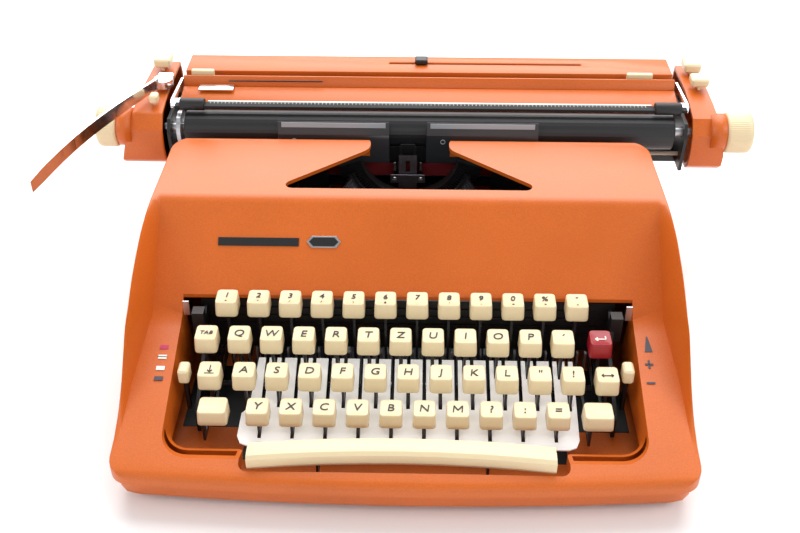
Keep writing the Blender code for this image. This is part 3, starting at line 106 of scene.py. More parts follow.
camera_data = bpy.data.cameras.new("camera")
camera = bpy.data.objects.new("camera", camera_data)
SCENE.collection.objects.link(camera)
camera_data.lens = 47.25
camera_data.sensor_width = 36.0
camera_data.clip_start = 0.02
look = Euler((math.radians(90.0 - 37.0), 0.0, math.radians(1.2)), "XYZ")
camera.matrix_world = Matrix.Translation(at(6.1, -382.3, 462.9)) @ look.to_matrix().to_4x4()
SCENE.camera = camera

def mesh_of(shape, name):
    """The finished mesh of a shape under construction, which is freed."""
    mesh = bpy.data.meshes.new(name)
    shape.to_mesh(mesh)
    shape.free()
    return mesh


desk_shape = bmesh.new()
bmesh.ops.create_grid(desk_shape, x_segments=1, y_segments=1, size=14.0)
desk_mesh = mesh_of(desk_shape, "desk")
desk = bpy.data.objects.new("desk", desk_mesh)
SCENE.collection.objects.link(desk)
paper = bpy.data.materials.new("desk_paper")
paper.use_nodes = True
paper.node_tree.nodes["Principled BSDF"].inputs["Base Color"].default_value = (0.93, 0.93, 0.93, 1.0)
paper.node_tree.nodes["Principled BSDF"].inputs["Roughness"].default_value = 0.9
desk_mesh.materials.append(paper)


# ---------------------------------------------------------------------------------------------------------
# Base tray and its four feet: the tray is moulded in the same grained orange plastic as the shell, and the
# rubber feet are turned discs, screwed up into it. Everything else stands on the tray.


def tint(red, green, blue):
    """A colour given from 0 to 255, as the shader wants it."""
    return tuple(
        channel / 255 / 12.92 if channel <= 10 else ((channel / 255 + 0.055) / 1.055) ** 2.4
        for channel in (red, green, blue)
    )


def new_material(name):
    """A node material, with its nodes, its links and its shader."""
    material = bpy.data.materials.new(name)
    material.use_nodes = True
    tree = material.node_tree
    return material, tree.nodes, tree.links, tree.nodes["Principled BSDF"]


def moulded(name, colour, roughness, grain, depth, shade=0.06, coat=0.0, fleck=0.01):
    """Moulded plastic: a fine raised grain, a slow drift of shade, and slightly uneven gloss."""
    material, nodes, links, shader = new_material(name)
    coordinates = nodes.new("ShaderNodeTexCoord")
    drift = nodes.new("ShaderNodeTexNoise")
    drift.inputs["Scale"].default_value = 14.0
    drift.inputs["Detail"].default_value = 3.0
    links.new(coordinates.outputs["Object"], drift.inputs["Vector"])
    ramp = nodes.new("ShaderNodeValToRGB")
    ramp.color_ramp.elements[0].position = 0.3
    ramp.color_ramp.elements[0].color = (*[channel * (1 - shade) for channel in colour], 1.0)
    ramp.color_ramp.elements[1].position = 0.7
    ramp.color_ramp.elements[1].color = (*[min(channel * (1 + shade), 1.0) for channel in colour], 1.0)
    links.new(drift.outputs["Fac"], ramp.inputs["Fac"])
    texture = nodes.new("ShaderNodeTexNoise")
    texture.inputs["Scale"].default_value = grain
    texture.inputs["Detail"].default_value = 2.0
    links.new(coordinates.outputs["Object"], texture.inputs["Vector"])
    flecks = nodes.new("ShaderNodeMapRange")
    flecks.inputs["From Min"].default_value = 0.3
    flecks.inputs["From Max"].default_value = 0.7
    flecks.inputs["To Min"].default_value = 1.0 - fleck
    flecks.inputs["To Max"].default_value = 1.0 + fleck
    links.new(texture.outputs["Fac"], flecks.inputs["Value"])
    blended = nodes.new("ShaderNodeVectorMath")
    blended.operation = "SCALE"
    links.new(ramp.outputs["Color"], blended.inputs[0])
    links.new(flecks.outputs["Result"], blended.inputs["Scale"])
    links.new(blended.outputs["Vector"], shader.inputs["Base Color"])
    bump = nodes.new("ShaderNodeBump")
    bump.inputs["Strength"].default_value = 0.35
    bump.inputs["Distance"].default_value = depth
    links.new(texture.outputs["Fac"], bump.inputs["Height"])
    links.new(bump.outputs["Normal"], shader.inputs["Normal"])
    gloss = nodes.new("ShaderNodeMapRange")
    gloss.inputs["To Min"].default_value = roughness - 0.06
    gloss.inputs["To Max"].default_value = roughness + 0.06
    links.new(drift.outputs["Fac"], gloss.inputs["Value"])
    links.new(gloss.outputs["Result"], shader.inputs["Roughness"])
    shader.inputs["Coat Weight"].default_value = coat
    shader.inputs["Coat Roughness"].default_value = 0.25
    return material


ORANGE = moulded("orange_grained_plastic", tint(200, 96, 24), 0.4, 1500.0, 0.00012, fleck=0.10)


def new_piece(name, mesh, material, body, *replaced, slot=None):
    """A finished mesh becomes a piece that rides on a body and may stand for CAD nodes."""
    mesh.name = name
    piece = bpy.data.objects.new(name, mesh)
    SCENE.collection.objects.link(piece)
    if material is not None:
        mesh.materials.clear()
        mesh.materials.append(material)
    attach(piece, body)
    if replaced:
        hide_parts(*replaced)
    return piece


def read_mesh(thing):
    graph = bpy.context.evaluated_depsgraph_get()
    return bpy.data.meshes.new_from_object(thing.evaluated_get(graph))


def draft(mesh):
    """An object to work on, which is removed when its mesh is done."""
    thing = bpy.data.objects.new("draft", mesh)
    SCENE.collection.objects.link(thing)
    return thing


def cut(mesh, tools, operation="DIFFERENCE"):
    """Cuts tool meshes out of a mesh, or joins them to it."""
    for tool in tools:
        work = draft(mesh)
        other = draft(tool)
        step = work.modifiers.new("cut", "BOOLEAN")
        step.operation = operation
        step.solver = "EXACT"
        step.object = other
        mesh = read_mesh(work)
        bpy.data.objects.remove(work)
        bpy.data.objects.remove(other)
    return mesh


def merged(mesh, distance=2e-6, flat_angle=None):
    shape = bmesh.new()
    shape.from_mesh(mesh)
    bmesh.ops.remove_doubles(shape, verts=shape.verts, dist=distance)
    if flat_angle is not None:
        bmesh.ops.dissolve_limit(
            shape, angle_limit=math.radians(flat_angle), verts=shape.verts, edges=shape.edges
        )
    bmesh.ops.recalc_face_normals(shape, faces=shape.faces)
    shape.to_mesh(mesh)
    shape.free()
    return mesh


def rounded(mesh, width, segments=3, angle=32.0):
    """Takes the sharp edges off and shades the rest smooth."""
    work = draft(mesh)
    mesh.shade_smooth()
    edge = work.modifiers.new("edge", "BEVEL")
    edge.width = width
    edge.segments = segments
    edge.limit_method = "ANGLE"
    edge.angle_limit = math.radians(angle)
    edge.miter_outer = "MITER_ARC"
    edge.harden_normals = True
    result = read_mesh(work)
    bpy.data.objects.remove(work)
    return result


def remoulded(
    node, width, material, *, segments=2, angle=34.0, flat=1.0, name=None, slot=None, cuts=()
):
    """A CAD node's own form with its edges eased, as the finished piece that stands for it."""
    mesh = merged(frame["nodes"][node].data.copy(), 4e-6, flat)
    if cuts:
        mesh = cut(mesh, cuts)
    if width:
        mesh = rounded(mesh, width * MM, segments, angle)
    body = frame["nodes"][node]["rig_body"]
    return new_piece(name or node + "_shape", mesh, material, body, node, slot=slot)


RUBBER = moulded("foot_rubber", tint(38, 38, 40), 0.75, 900.0, 0.0002)
remoulded("base_tray", 0.8, ORANGE, slot="orange_case")
for corner_name in ("foot_front_left", "foot_front_right", "foot_rear_left", "foot_rear_right"):
    remoulded(corner_name, 0.7, RUBBER, slot="rubber")

# ---------------------------------------------------------------------------------------------------------
# Main frame, carriage rails, fulcrum rod, lever comb and mainspring drum: folded and ground steel, the frame
# and drum stoved black, the rails, rod and comb bright. All of it is screwed to the tray.


def prism(outline, plane, span):
    """A flat outline, in millimetres, swept across its plane."""
    shape = bmesh.new()
    loops = []
    for depth in span:
        loop = []
        for first, second in outline:
            spot = {"XY": (first, second, depth), "YZ": (depth, first, second), "XZ": (first, depth, second)}
            loop.append(shape.verts.new(at(*spot[plane])))
        loops.append(loop)
    for index in range(len(outline)):
        after = (index + 1) % len(outline)
        shape.faces.new((loops[0][index], loops[0][after], loops[1][after], loops[1][index]))
    shape.faces.new(list(reversed(loops[0])))
    shape.faces.new(loops[1])
    bmesh.ops.recalc_face_normals(shape, faces=shape.faces)
    return mesh_of(shape, "prism")


def block(x, y, z):
    return prism([(x[0], y[0]), (x[1], y[0]), (x[1], y[1]), (x[0], y[1])], "XY", z)


def enamelled(name, colour, roughness, peel=0.00006):
    """Stoved enamel or painted steel: a slight orange-peel surface and uneven gloss."""
    return moulded(name, colour, roughness, 420.0, peel, shade=0.12, coat=0.1)


def finished(material, *nodes):
    """Gives CAD nodes that keep their own form a finish."""
    for node in nodes:
        data = frame["nodes"][node]
        for place in data.material_slots:
            place.material = material


BLACK = enamelled("black_enamel", tint(13, 13, 15), 0.48)


def brushed(name, colour, roughness, along="X", scale=900.0):
    """Bright steel with fine grinding lines along one axis."""
    material, nodes, links, shader = new_material(name)
    shader.inputs["Base Color"].default_value = (*colour, 1.0)
    shader.inputs["Metallic"].default_value = 1.0
    coordinates = nodes.new("ShaderNodeTexCoord")
    stretch = nodes.new("ShaderNodeMapping")
    squeeze = {"X": (0.03, 1.0, 1.0), "Y": (1.0, 0.03, 1.0), "Z": (1.0, 1.0, 0.03)}[along]
    stretch.inputs["Scale"].default_value = squeeze
    links.new(coordinates.outputs["Object"], stretch.inputs["Vector"])
    lines = nodes.new("ShaderNodeTexNoise")
    lines.inputs["Scale"].default_value = scale
    lines.inputs["Detail"].default_value = 3.0
    links.new(stretch.outputs["Vector"], lines.inputs["Vector"])
    gloss = nodes.new("ShaderNodeMapRange")
    gloss.inputs["To Min"].default_value = roughness - 0.08
    gloss.inputs["To Max"].default_value = roughness + 0.12
    links.new(lines.outputs["Fac"], gloss.inputs["Value"])
    links.new(gloss.outputs["Result"], shader.inputs["Roughness"])
    relief = nodes.new("ShaderNodeBump")
    relief.inputs["Strength"].default_value = 0.2
    relief.inputs["Distance"].default_value = 0.00003
    links.new(lines.outputs["Fac"], relief.inputs["Height"])
    links.new(relief.outputs["Normal"], shader.inputs["Normal"])
    return material


STEEL = brushed("bright_steel", (0.52, 0.53, 0.55), 0.3, "X")
STEEL_UPRIGHT = brushed("bright_steel_upright", (0.5, 0.51, 0.53), 0.32, "Y")
finished(BLACK, "main_frame", "mainspring_drum")
finished(STEEL, "carriage_rail_front", "carriage_rail_rear", "fulcrum_rod")
finished(STEEL_UPRIGHT, "lever_comb")
for side in (-1, 1):
    floor_plate = rounded(
        block(sorted((side * 96.0, side * 134.0)), (62.0, 116.0), (5.35, 5.85)), 0.3 * MM, 2
    )
    new_piece(
        "floor_plate_left" if side < 0 else "floor_plate_right", floor_plate, BLACK, "base",
        slot="black_metal"
    )

under_plate = rounded(block((-95.0, 95.0), (36.0, 168.0), (5.35, 5.85)), 0.3 * MM, 2)
new_piece("floor_plate_middle", under_plate, BLACK, "base", slot="black_metal")
for side, name in ((-1, "left"), (1, "right")):
    lining = rounded(block(sorted((side * 57.5, side * 120.0)), (201.0, 229.0), (70.15, 70.85)), 0.2 * MM, 2)
    new_piece("shelf_lining_" + name, lining, BLACK, "base", slot="black_metal")
    backing = rounded(block(sorted((side * 55.4, side * 110.0)), (225.4, 226.1), (71.0, 105.0)), 0.2 * MM, 2)
    new_piece("deck_backing_" + name, backing, BLACK, "base", slot="black_metal")

# ---------------------------------------------------------------------------------------------------------
# Key levers: each row of blanked steel levers hangs on the fulcrum rod and comes up through the key plate as
# thin black stems. Only the parts under the caps are kept here, because the caps are mouldings of their own.
ROW_Y, ROW_Z = (106.4, 85.3, 64.6, 45.0), (65.4, 54.9, 44.8, 35.0)
SINGLE_KEYS = {
    "tab_key": (-118.0, 1, 14.2),
    "shift_lock_key": (-113.8, 2, 14.2),
    "shift_key_left": (-109.9, 3, 18.0),
    "shift_key_right": (109.9, 3, 18.0),
    "backspace_key": (113.8, 1, 14.2),
    "margin_release_key": (116.4, 2, 14.2),
}
STEM_BLACK = enamelled("stem_black", tint(30, 29, 32), 0.42)


def stems_only(node, row):
    y, z = ROW_Y[row], ROW_Z[row]
    return cut(
        merged(frame["nodes"][node].data.copy(), 3e-6),
        [block((-140.0, 140.0), (y - 9.0, y + 9.0), (z - 5.6, z + 9.0))]
    )


for row in range(4):
    body = f"key_row_{row + 1}"
    new_piece(body + "_levers", stems_only(body, row), STEM_BLACK, body, body, slot="black_metal")
for node, (x, row, width) in SINGLE_KEYS.items():
    new_piece(node + "_lever", stems_only(node, row), STEM_BLACK, node, node, slot="bright_steel")

# ---------------------------------------------------------------------------------------------------------
# Key caps: moulded cream plastic with a dished top, sides that spread to a rounded skirt, and inlaid dark
# letters. The backspace cap is red with a white hooked arrow. Each is pressed on its stem.
CREAM = moulded("cream_plastic", tint(226, 207, 168), 0.32, 700.0, 0.00004, shade=0.025)
RED = moulded("red_plastic", tint(150, 22, 34), 0.28, 700.0, 0.00004, shade=0.04)
INK = moulded("legend_ink", tint(30, 34, 32), 0.5, 900.0, 0.00002)
WHITE_INK = moulded("white_ink", tint(240, 236, 225), 0.5, 900.0, 0.00002, shade=0.02)
CAP_DEPTH, CAP_RISE, CAP_DROP = 14.1, 4.8, 5.6
ROW_COUNT, ROW_STAGGER = (12, 11, 11, 10), (0, 2, 3, 5)
PITCH, FIRST_KEY_X = 19.05, -108.05


def skinned(shape, rings):
    """Faces between neighbouring loops, and one face over each end."""
    for near, far in zip(rings, rings[1:]):
        for index in range(len(near)):
            after = (index + 1) % len(near)
            shape.faces.new((near[index], near[after], far[after], far[index]))
    shape.faces.new(list(reversed(rings[0])))
    shape.faces.new(rings[-1])


def cap_ring(shape, x, y, z, half_x, half_y, corner):
    """One rounded-square loop of a cap."""
    ring = []
    for turn_x, turn_y, start in ((1, -1, -90), (1, 1, 0), (-1, 1, 90), (-1, -1, 180)):
        for step in range(5):
            angle = math.radians(start + 22.5 * step)
            px = turn_x * (half_x - corner) + corner * math.cos(angle)
            py = turn_y * (half_y - corner) + corner * math.sin(angle)
            ring.append(shape.verts.new(at(x + px, y + py, z)))
    return ring


def add_cap(shape, x, y, z, width, depth, lowest):
    """A tapered cap: skirt, sides, softened rim, and a hollow top built of shrinking rings."""
    half_x, half_y = width / 2, depth / 2
    layers = [
        (0.92, -CAP_DROP, 2.0),
        (0.98, -CAP_DROP + 0.4, 2.2),
        (1.0, -CAP_DROP + 1.3, 2.3),
        (0.985, -1.5, 2.3),
        (0.95, CAP_RISE - 1.6, 2.2),
        (0.935, CAP_RISE - 0.6, 2.1),
        (0.91, CAP_RISE - 0.12, 2.0),
        (0.87, CAP_RISE, 1.9),
        (0.82, CAP_RISE - 0.1, 1.8),
        (0.65, CAP_RISE - 0.4, 1.6),
        (0.42, CAP_RISE - 0.65, 1.2),
        (0.2, CAP_RISE - 0.75, 0.6),
    ]
    rings = []
    for share, height, corner in layers:
        height = max(height, lowest)
        lean = 0.45 * (height + CAP_DROP) / (CAP_RISE + CAP_DROP)
        rings.append(cap_ring(shape, x, y + lean, z + height, half_x * share, half_y * share, corner))
    skinned(shape, rings)


def caps_mesh(spots):
    shape = bmesh.new()
    for x, row, width in spots:
        add_cap(
            shape, x, ROW_Y[row] + 0.3, ROW_Z[row], width - 0.8, CAP_DEPTH, -CAP_DROP if row < 3 else -4.4
        )
    mesh = mesh_of(shape, "caps")
    mesh.shade_smooth()
    return mesh


def lettering(marks):
    """Flat letters, each (text, x, y, z, height in mm, lean), turned to one mesh."""
    joined = bmesh.new()
    for text, x, y, z, height, lean in marks:
        drawn = bpy.data.curves.new("letter", "FONT")
        drawn.body = text
        drawn.size = height * 1.38 * MM
        drawn.shear = lean
        drawn.align_x = "CENTER"
        drawn.align_y = "CENTER"
        drawn.extrude = 0.12 * MM
        drawn.offset = 0.02 * MM
        drawn.resolution_u = 3
        work = bpy.data.objects.new("letter", drawn)
        SCENE.collection.objects.link(work)
        mesh = read_mesh(work)
        bpy.data.objects.remove(work)
        mesh.transform(Matrix.Translation(at(x, y, z)))
        joined.from_mesh(mesh)
    return mesh_of(joined, "letters")


ROW_LETTERS = (
    ("1", "2", "3", "4", "5", "6", "7", "8", "9", "0", "%", "ˇ"),
    ("Q", "W", "E", "R", "T", "Z", "U", "I", "O", "P", "´"),
    ("A", "S", "D", "F", "G", "H", "J", "K", "L", '"', "!"),
    ("Y", "X", "C", "V", "B", "N", "M", "?", ":", "="),
)
SECOND_SIGNS = ("+", '"', "/", "(", ")", "&", "_", "'", "-", "=", "*", "^")
DISH_TOP = CAP_RISE - 0.42
for row in range(4):
    body = f"key_row_{row + 1}"
    first = FIRST_KEY_X + ROW_STAGGER[row] * PITCH / 4
    spots = [(first + PITCH * index, row, 14.2) for index in range(ROW_COUNT[row])]
    new_piece(body + "_caps", caps_mesh(spots), CREAM, body, slot="cream_keys")
    marks = []
    top = ROW_Z[row] + DISH_TOP
    for index, (x, _, _) in enumerate(spots):
        mark = ROW_LETTERS[row][index]
        if row == 0:
            marks.append((mark, x - 0.2, ROW_Y[row] + 2.3, top + 0.1, 4.3, 0.12))
            marks.append((SECOND_SIGNS[index], x - 0.2, ROW_Y[row] - 3.1, top, 2.0, 0.12))
        elif mark != "M":
            marks.append((mark, x - 0.2, ROW_Y[row] + 0.9, top, 5.6, 0.12))
    new_piece(body + "_letters", lettering(marks), INK, body)


def strokes(paths, x, y, z, width=0.55):
    """Thin flat lines laid on a cap's top, for arrows and signs."""
    joined = bmesh.new()
    for path in paths:
        for (x0, y0), (x1, y1) in zip(path, path[1:]):
            length = math.hypot(x1 - x0, y1 - y0)
            across = ((y1 - y0) / length * width / 2, -(x1 - x0) / length * width / 2)
            corners = [(x0 + across[0], y0 + across[1]), (x1 + across[0], y1 + across[1])]
            corners += [(x1 - across[0], y1 - across[1]), (x0 - across[0], y0 - across[1])]
            joined.from_mesh(prism([(x + a, y + b) for a, b in corners], "XY", (z - 0.14, z + 0.12)))
    return mesh_of(joined, "strokes")


letter_m = [[(-2.5, -2.6), (-1.9, 2.6), (0.2, -0.9), (2.9, 2.6), (2.5, -2.6)]]
m_place = FIRST_KEY_X + ROW_STAGGER[3] * PITCH / 4 + 6 * PITCH - 0.2
new_piece(
    "key_row_4_letter_m", strokes(letter_m, m_place, ROW_Y[3] + 0.9, ROW_Z[3] + DISH_TOP, 0.7), INK,
    "key_row_4"
)
for node, (x, row, width) in SINGLE_KEYS.items():
    shade = RED if node == "backspace_key" else CREAM
    new_piece(
        node + "_cap", caps_mesh([(x, row, width)]), shade, node,
        slot="red_key" if shade is RED else "cream_keys"
    )
row_top = [height + DISH_TOP for height in ROW_Z]
new_piece(
    "tab_key_letters", lettering([("TAB", -118.0, ROW_Y[1] + 0.9, row_top[1] + 0.12, 3.1, 0.1)]), INK,
    "tab_key"
)
lock_sign = [[(0.2, 4.2), (0.2, -1.4)], [(-1.2, 0.2), (0.2, -1.5), (1.6, 0.2)], [(-2.6, -2.6), (3.0, -2.6)]]
new_piece("shift_lock_sign", strokes(lock_sign, -113.8, ROW_Y[2] + 0.3, row_top[2]), INK, "shift_lock_key")
both_ways = [
    [(-3.4, 0.0), (3.4, 0.0)], [(-2.2, 1.2), (-3.4, 0.0), (-2.2, -1.2)], [(2.2, 1.2), (3.4, 0.0), (2.2, -1.2)]
]
new_piece(
    "margin_release_sign", strokes(both_ways, 116.4, ROW_Y[2] + 0.3, row_top[2]), INK, "margin_release_key"
)
hook = [[(3.0, 2.0), (3.0, -0.6), (-3.0, -0.6)], [(-1.6, 0.8), (-3.2, -0.6), (-1.6, -2.0)]]
new_piece("backspace_sign", strokes(hook, 113.8, ROW_Y[1] + 0.3, row_top[1], 0.7), WHITE_INK, "backspace_key")

# ---------------------------------------------------------------------------------------------------------
# Space bar: one long cream moulding with a bowed front and rolled edges, riding on its own lever frame
# under the lip of the case.
space_bar = remoulded("space_bar", 1.3, CREAM, segments=3, flat=0.3, angle=25.0, slot="cream_keys")
space_bar.data.materials.append(BLACK)
for face in space_bar.data.polygons:
    face.material_index = 1 if face.center.z < 27.9 * MM else 0

# ---------------------------------------------------------------------------------------------------------
# Key plate and the black shield behind the number row: the plate is white enamelled sheet with a slot for
# every stem, and it glows faintly as painted light, to keep it white where the keys shade it. The shield is
# black sheet with pressed ribs that hides the machine's inside.
PLATE_WHITE_PAINTED_GLOW = enamelled("key_plate_white_painted_glow", tint(255, 255, 252), 0.55)
# Painted light: the emission makes the plate glow a little, lightening it where the keys cast shade on it.
PLATE_WHITE_PAINTED_GLOW.node_tree.nodes["Principled BSDF"].inputs["Emission Color"].default_value = (1.0, 1.0, 1.0, 1.0)
PLATE_WHITE_PAINTED_GLOW.node_tree.nodes["Principled BSDF"].inputs["Emission Strength"].default_value = 0.2
finished(PLATE_WHITE_PAINTED_GLOW, "key_plate")
joined_shield = bmesh.new()
joined_shield.from_mesh(block((-126.0, 126.0), (114.8, 115.6), (24.5, 62.0)))
for height in (37.0, 43.0, 49.0, 55.0):
    joined_shield.from_mesh(block((-118.0, 118.0), (114.0, 114.9), (height, height + 1.2)))
shield_mesh = mesh_of(joined_shield, "key_shield")
new_piece("key_shield", shield_mesh, BLACK, "base", slot="black_metal")
for node in ("colour_selector", "touch_selector"):
    selector = remoulded(node, 0.7, CREAM, segments=3, slot="cream_keys")
    selector.data.materials.append(BLACK)
    button_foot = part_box(node)[1].z - 10.0 * MM
    for face in selector.data.polygons:
        face.material_index = 1 if face.center.z < button_foot else 0

# ---------------------------------------------------------------------------------------------------------
# Type basket: a black cast segment carries 44 bright typebars, each with its type block at the tip. The
# whole basket sinks when a shift key goes down.
finished(BLACK, "type_segment")
BASKET = (0.0, 226.0, 102.0)
TYPEBAR_COUNT, BASKET_SPREAD, PIVOT_RADIUS = 44, 66.0, 42.0
TYPEBAR_STEEL = brushed("typebar_steel", (0.16, 0.16, 0.17), 0.35, "Z")
finished(TYPEBAR_STEEL, "typebars")
slits = bmesh.new()
for index in range(TYPEBAR_COUNT + 1):
    angle = math.radians(-BASKET_SPREAD + 2 * BASKET_SPREAD * (index - 0.0) / TYPEBAR_COUNT)
    sine, cosine = math.sin(angle), math.cos(angle)
    line = []
    for radius, half in ((PIVOT_RADIUS - 5.0, 0.16), (PIVOT_RADIUS + 6.5, 0.3)):
        for side in (-1, 1):
            line.append(
                (radius * sine + side * half * cosine, BASKET[2] - radius * cosine + side * half * sine)
            )
    slits.from_mesh(prism([line[0], line[1], line[3], line[2]], "XZ", (BASKET[1] - 3.4, BASKET[1] - 3.0)))
slit_mesh = mesh_of(slits, "segment_slots")
new_piece("segment_slots", slit_mesh, TYPEBAR_STEEL, "type_basket", slot="bright_steel")

# ---------------------------------------------------------------------------------------------------------
# Ribbon, spools, vibrator and guide: red cotton ribbon wound on two black spools runs through a thin grey
# steel guide and the forked vibrator that lifts it. Two ruled plastic card holders stand beside it.
GREY_STEEL = brushed("grey_guide_steel", (0.30, 0.29, 0.33), 0.4, "Z")
finished(GREY_STEEL, "type_guide")
finished(BLACK, "ribbon_vibrator", "ribbon_spool_left", "ribbon_spool_right")


def woven_ribbon(name, colour):
    """Fine cotton tape: over and under threads, inked unevenly."""
    material, nodes, links, shader = new_material(name)
    coordinates = nodes.new("ShaderNodeTexCoord")
    heights = []
    for direction in ("X", "Z"):
        threads = nodes.new("ShaderNodeTexWave")
        threads.bands_direction = direction
        threads.inputs["Scale"].default_value = 900.0
        links.new(coordinates.outputs["Object"], threads.inputs["Vector"])
        heights.append(threads)
    weave = nodes.new("ShaderNodeMath")
    weave.operation = "MULTIPLY"
    links.new(heights[0].outputs["Fac"], weave.inputs[0])
    links.new(heights[1].outputs["Fac"], weave.inputs[1])
    ramp = nodes.new("ShaderNodeValToRGB")
    ramp.color_ramp.elements[0].color = (*[channel * 0.55 for channel in colour], 1.0)
    ramp.color_ramp.elements[1].color = (*colour, 1.0)
    links.new(weave.outputs["Value"], ramp.inputs["Fac"])
    links.new(ramp.outputs["Color"], shader.inputs["Base Color"])
    relief = nodes.new("ShaderNodeBump")
    relief.inputs["Distance"].default_value = 0.00008
    links.new(weave.outputs["Value"], relief.inputs["Height"])
    links.new(relief.outputs["Normal"], shader.inputs["Normal"])
    shader.inputs["Roughness"].default_value = 0.85
    return material


RIBBON_RED = woven_ribbon("red_inked_cotton", tint(150, 24, 32))
RIBBON_SPAN, RIBBON_LOW, RIBBON_HIGH, RIBBON_Y = (-64.0, 61.0), 74.6, 84.6, 238.6
tape = bmesh.new()
columns = []
for step in range(51):
    x = RIBBON_SPAN[0] + (RIBBON_SPAN[1] - RIBBON_SPAN[0]) * step / 50
    sag = 0.16 * math.sin(math.pi * step / 50) + 0.05 * math.sin(step * 0.9)
    columns.append(
        [tape.verts.new(at(x, RIBBON_Y, z - sag)) for z in (RIBBON_LOW, RIBBON_LOW + 5.0, RIBBON_HIGH)]
    )
for near, far in zip(columns, columns[1:]):
    for index in range(2):
        tape.faces.new((near[index], far[index], far[index + 1], near[index + 1]))
tape_mesh = mesh_of(tape, "ribbon_tape")
ribbon_tape = new_piece("ribbon_tape", tape_mesh, RIBBON_RED, "base", "ribbon", slot="red_ribbon")
HOLDER_GREY = moulded("card_holder_plastic", tint(42, 45, 49), 0.22, 500.0, 0.00003, coat=0.5)
HOLDER_EDGE = moulded("card_holder_edge", tint(150, 156, 162), 0.3, 500.0, 0.00003)
for node in ("card_holder_left", "card_holder_right"):
    remoulded(node, 0.5, HOLDER_GREY, segments=2, slot="smoked_plastic")
    low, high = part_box(node)
    left, right = (low.x - ORIGIN.x) / MM, (high.x - ORIGIN.x) / MM
    front, top = (low.y - ORIGIN.y) / MM, high.z / MM
    lip = prism(
        [(front + 2.0, top - 3.0), (front + 2.8, top - 3.0), (237.6, 116.8), (236.8, 117.0)], "YZ",
        (left, right)
    )
    new_piece(node + "_lip", rounded(lip, 0.25 * MM, 2), HOLDER_GREY, "base")
    slant = ((236.6 - front - 2.0) / (117.0 - top + 3.0), front + 2.0, top - 3.0)
    face_y = [slant[1] + slant[0] * (height - slant[2]) - 0.3 for height in (113.2, 116.4)]
    band_outline = [
        (face_y[0], 113.2), (face_y[0] + 0.6, 113.2), (face_y[1] + 0.6, 116.4), (face_y[1], 116.4)
    ]
    band = rounded(prism(band_outline, "YZ", (left + 2.5, right - 2.5)), 0.15 * MM, 2)
    new_piece(node + "_band", band, HOLDER_EDGE, "base")
    eyes = bmesh.new()
    for x in (left + 11.0, right - 11.0):
        ring = bmesh.ops.create_circle(eyes, segments=20, radius=1.5 * MM, cap_ends=False)["verts"]
        bmesh.ops.rotate(eyes, verts=ring, matrix=Matrix.Rotation(math.pi / 2, 3, "X"))
        bmesh.ops.translate(eyes, verts=ring, vec=at(x, front - 0.3, top - 6.0))
    eye_mesh = mesh_of(eyes, node + "_eyes")
    wire = draft(eye_mesh)
    wire.modifiers.new("wire", "SKIN")
    for point in eye_mesh.skin_vertices[0].data:
        point.radius = (0.22 * MM, 0.22 * MM)
    thick = read_mesh(wire)
    bpy.data.objects.remove(wire)
    new_piece(node + "_eyes", thick, HOLDER_EDGE, "base")

# ---------------------------------------------------------------------------------------------------------
# Guide plate flange and fork: the thin guide is held to the segment by a cross flange with two slotted
# screws, and a dark fork with two bright pins stands over it against the platen.
fork = bmesh.new()
for x in ((-7.4, -5.2), (2.2, 4.4)):
    fork.from_mesh(rounded(block(x, (236.2, 237.0), (84.0, 99.0)), 0.3 * MM, 2))
fork.from_mesh(rounded(block((-6.6, 3.6), (236.25, 236.95), (97.0, 100.5)), 0.3 * MM, 2))
fork_mesh = mesh_of(fork, "printing_fork")
new_piece("printing_fork", fork_mesh, BLACK, "base", slot="black_metal")
pan = rounded(block((-30.0, 27.0), (239.2, 239.6), (85.2, 97.0)), 0.15 * MM, 2)
new_piece("paper_pan_front", pan, BLACK, "base", slot="black_metal")
for index, x in enumerate((-10.4, 7.4)):
    pin = rounded(block((x - 0.7, x + 0.7), (235.6, 236.6), (79.5, 86.5)), 0.3 * MM, 3)
    new_piece(f"guide_pin_{index + 1}", pin, STEEL, "base", slot="bright_steel")
flange = rounded(block((-13.5, 10.5), (231.6, 232.6), (72.5, 79.0)), 0.4 * MM, 2)
new_piece("guide_flange", flange, GREY_STEEL, "base", slot="bright_steel")
for index, x in enumerate((-10.6, 7.6)):
    head = bmesh.new()
    bmesh.ops.create_cone(
        head, cap_ends=True, segments=24, radius1=1.7 * MM, radius2=1.3 * MM, depth=0.9 * MM
    )
    bmesh.ops.rotate(head, verts=head.verts, matrix=Matrix.Rotation(math.pi / 2, 3, "X"))
    bmesh.ops.translate(head, verts=head.verts, vec=at(x, 231.2, 75.8))
    screw_mesh = mesh_of(head, "screw")
    screw_mesh = cut(screw_mesh, [block((x - 2.0, x + 2.0), (230.4, 231.1), (75.55, 76.05))])
    new_piece(f"guide_screw_{index + 1}", screw_mesh, STEEL, "base", slot="bright_steel")

# ---------------------------------------------------------------------------------------------------------
# Case, upper shell and rear panel: one injection moulding in orange plastic, 2.5 mm thick, open over the
# keyboard and the type basket. It drops over the machine and meets the tray at a seam.


def arc(centre, radius, start, end, steps):
    turn = [math.radians(start + (end - start) * step / steps) for step in range(steps + 1)]
    return [(centre[0] + radius * math.cos(a), centre[1] + radius * math.sin(a)) for a in turn]


def between(value, stops):
    """Reads a value off straight runs between stops."""
    if value <= stops[0][0]:
        return stops[0][1]
    for (start, low), (end, high) in zip(stops, stops[1:]):
        if value <= end:
            return low + (high - low) * (value - start) / (end - start)
    return stops[-1][1]


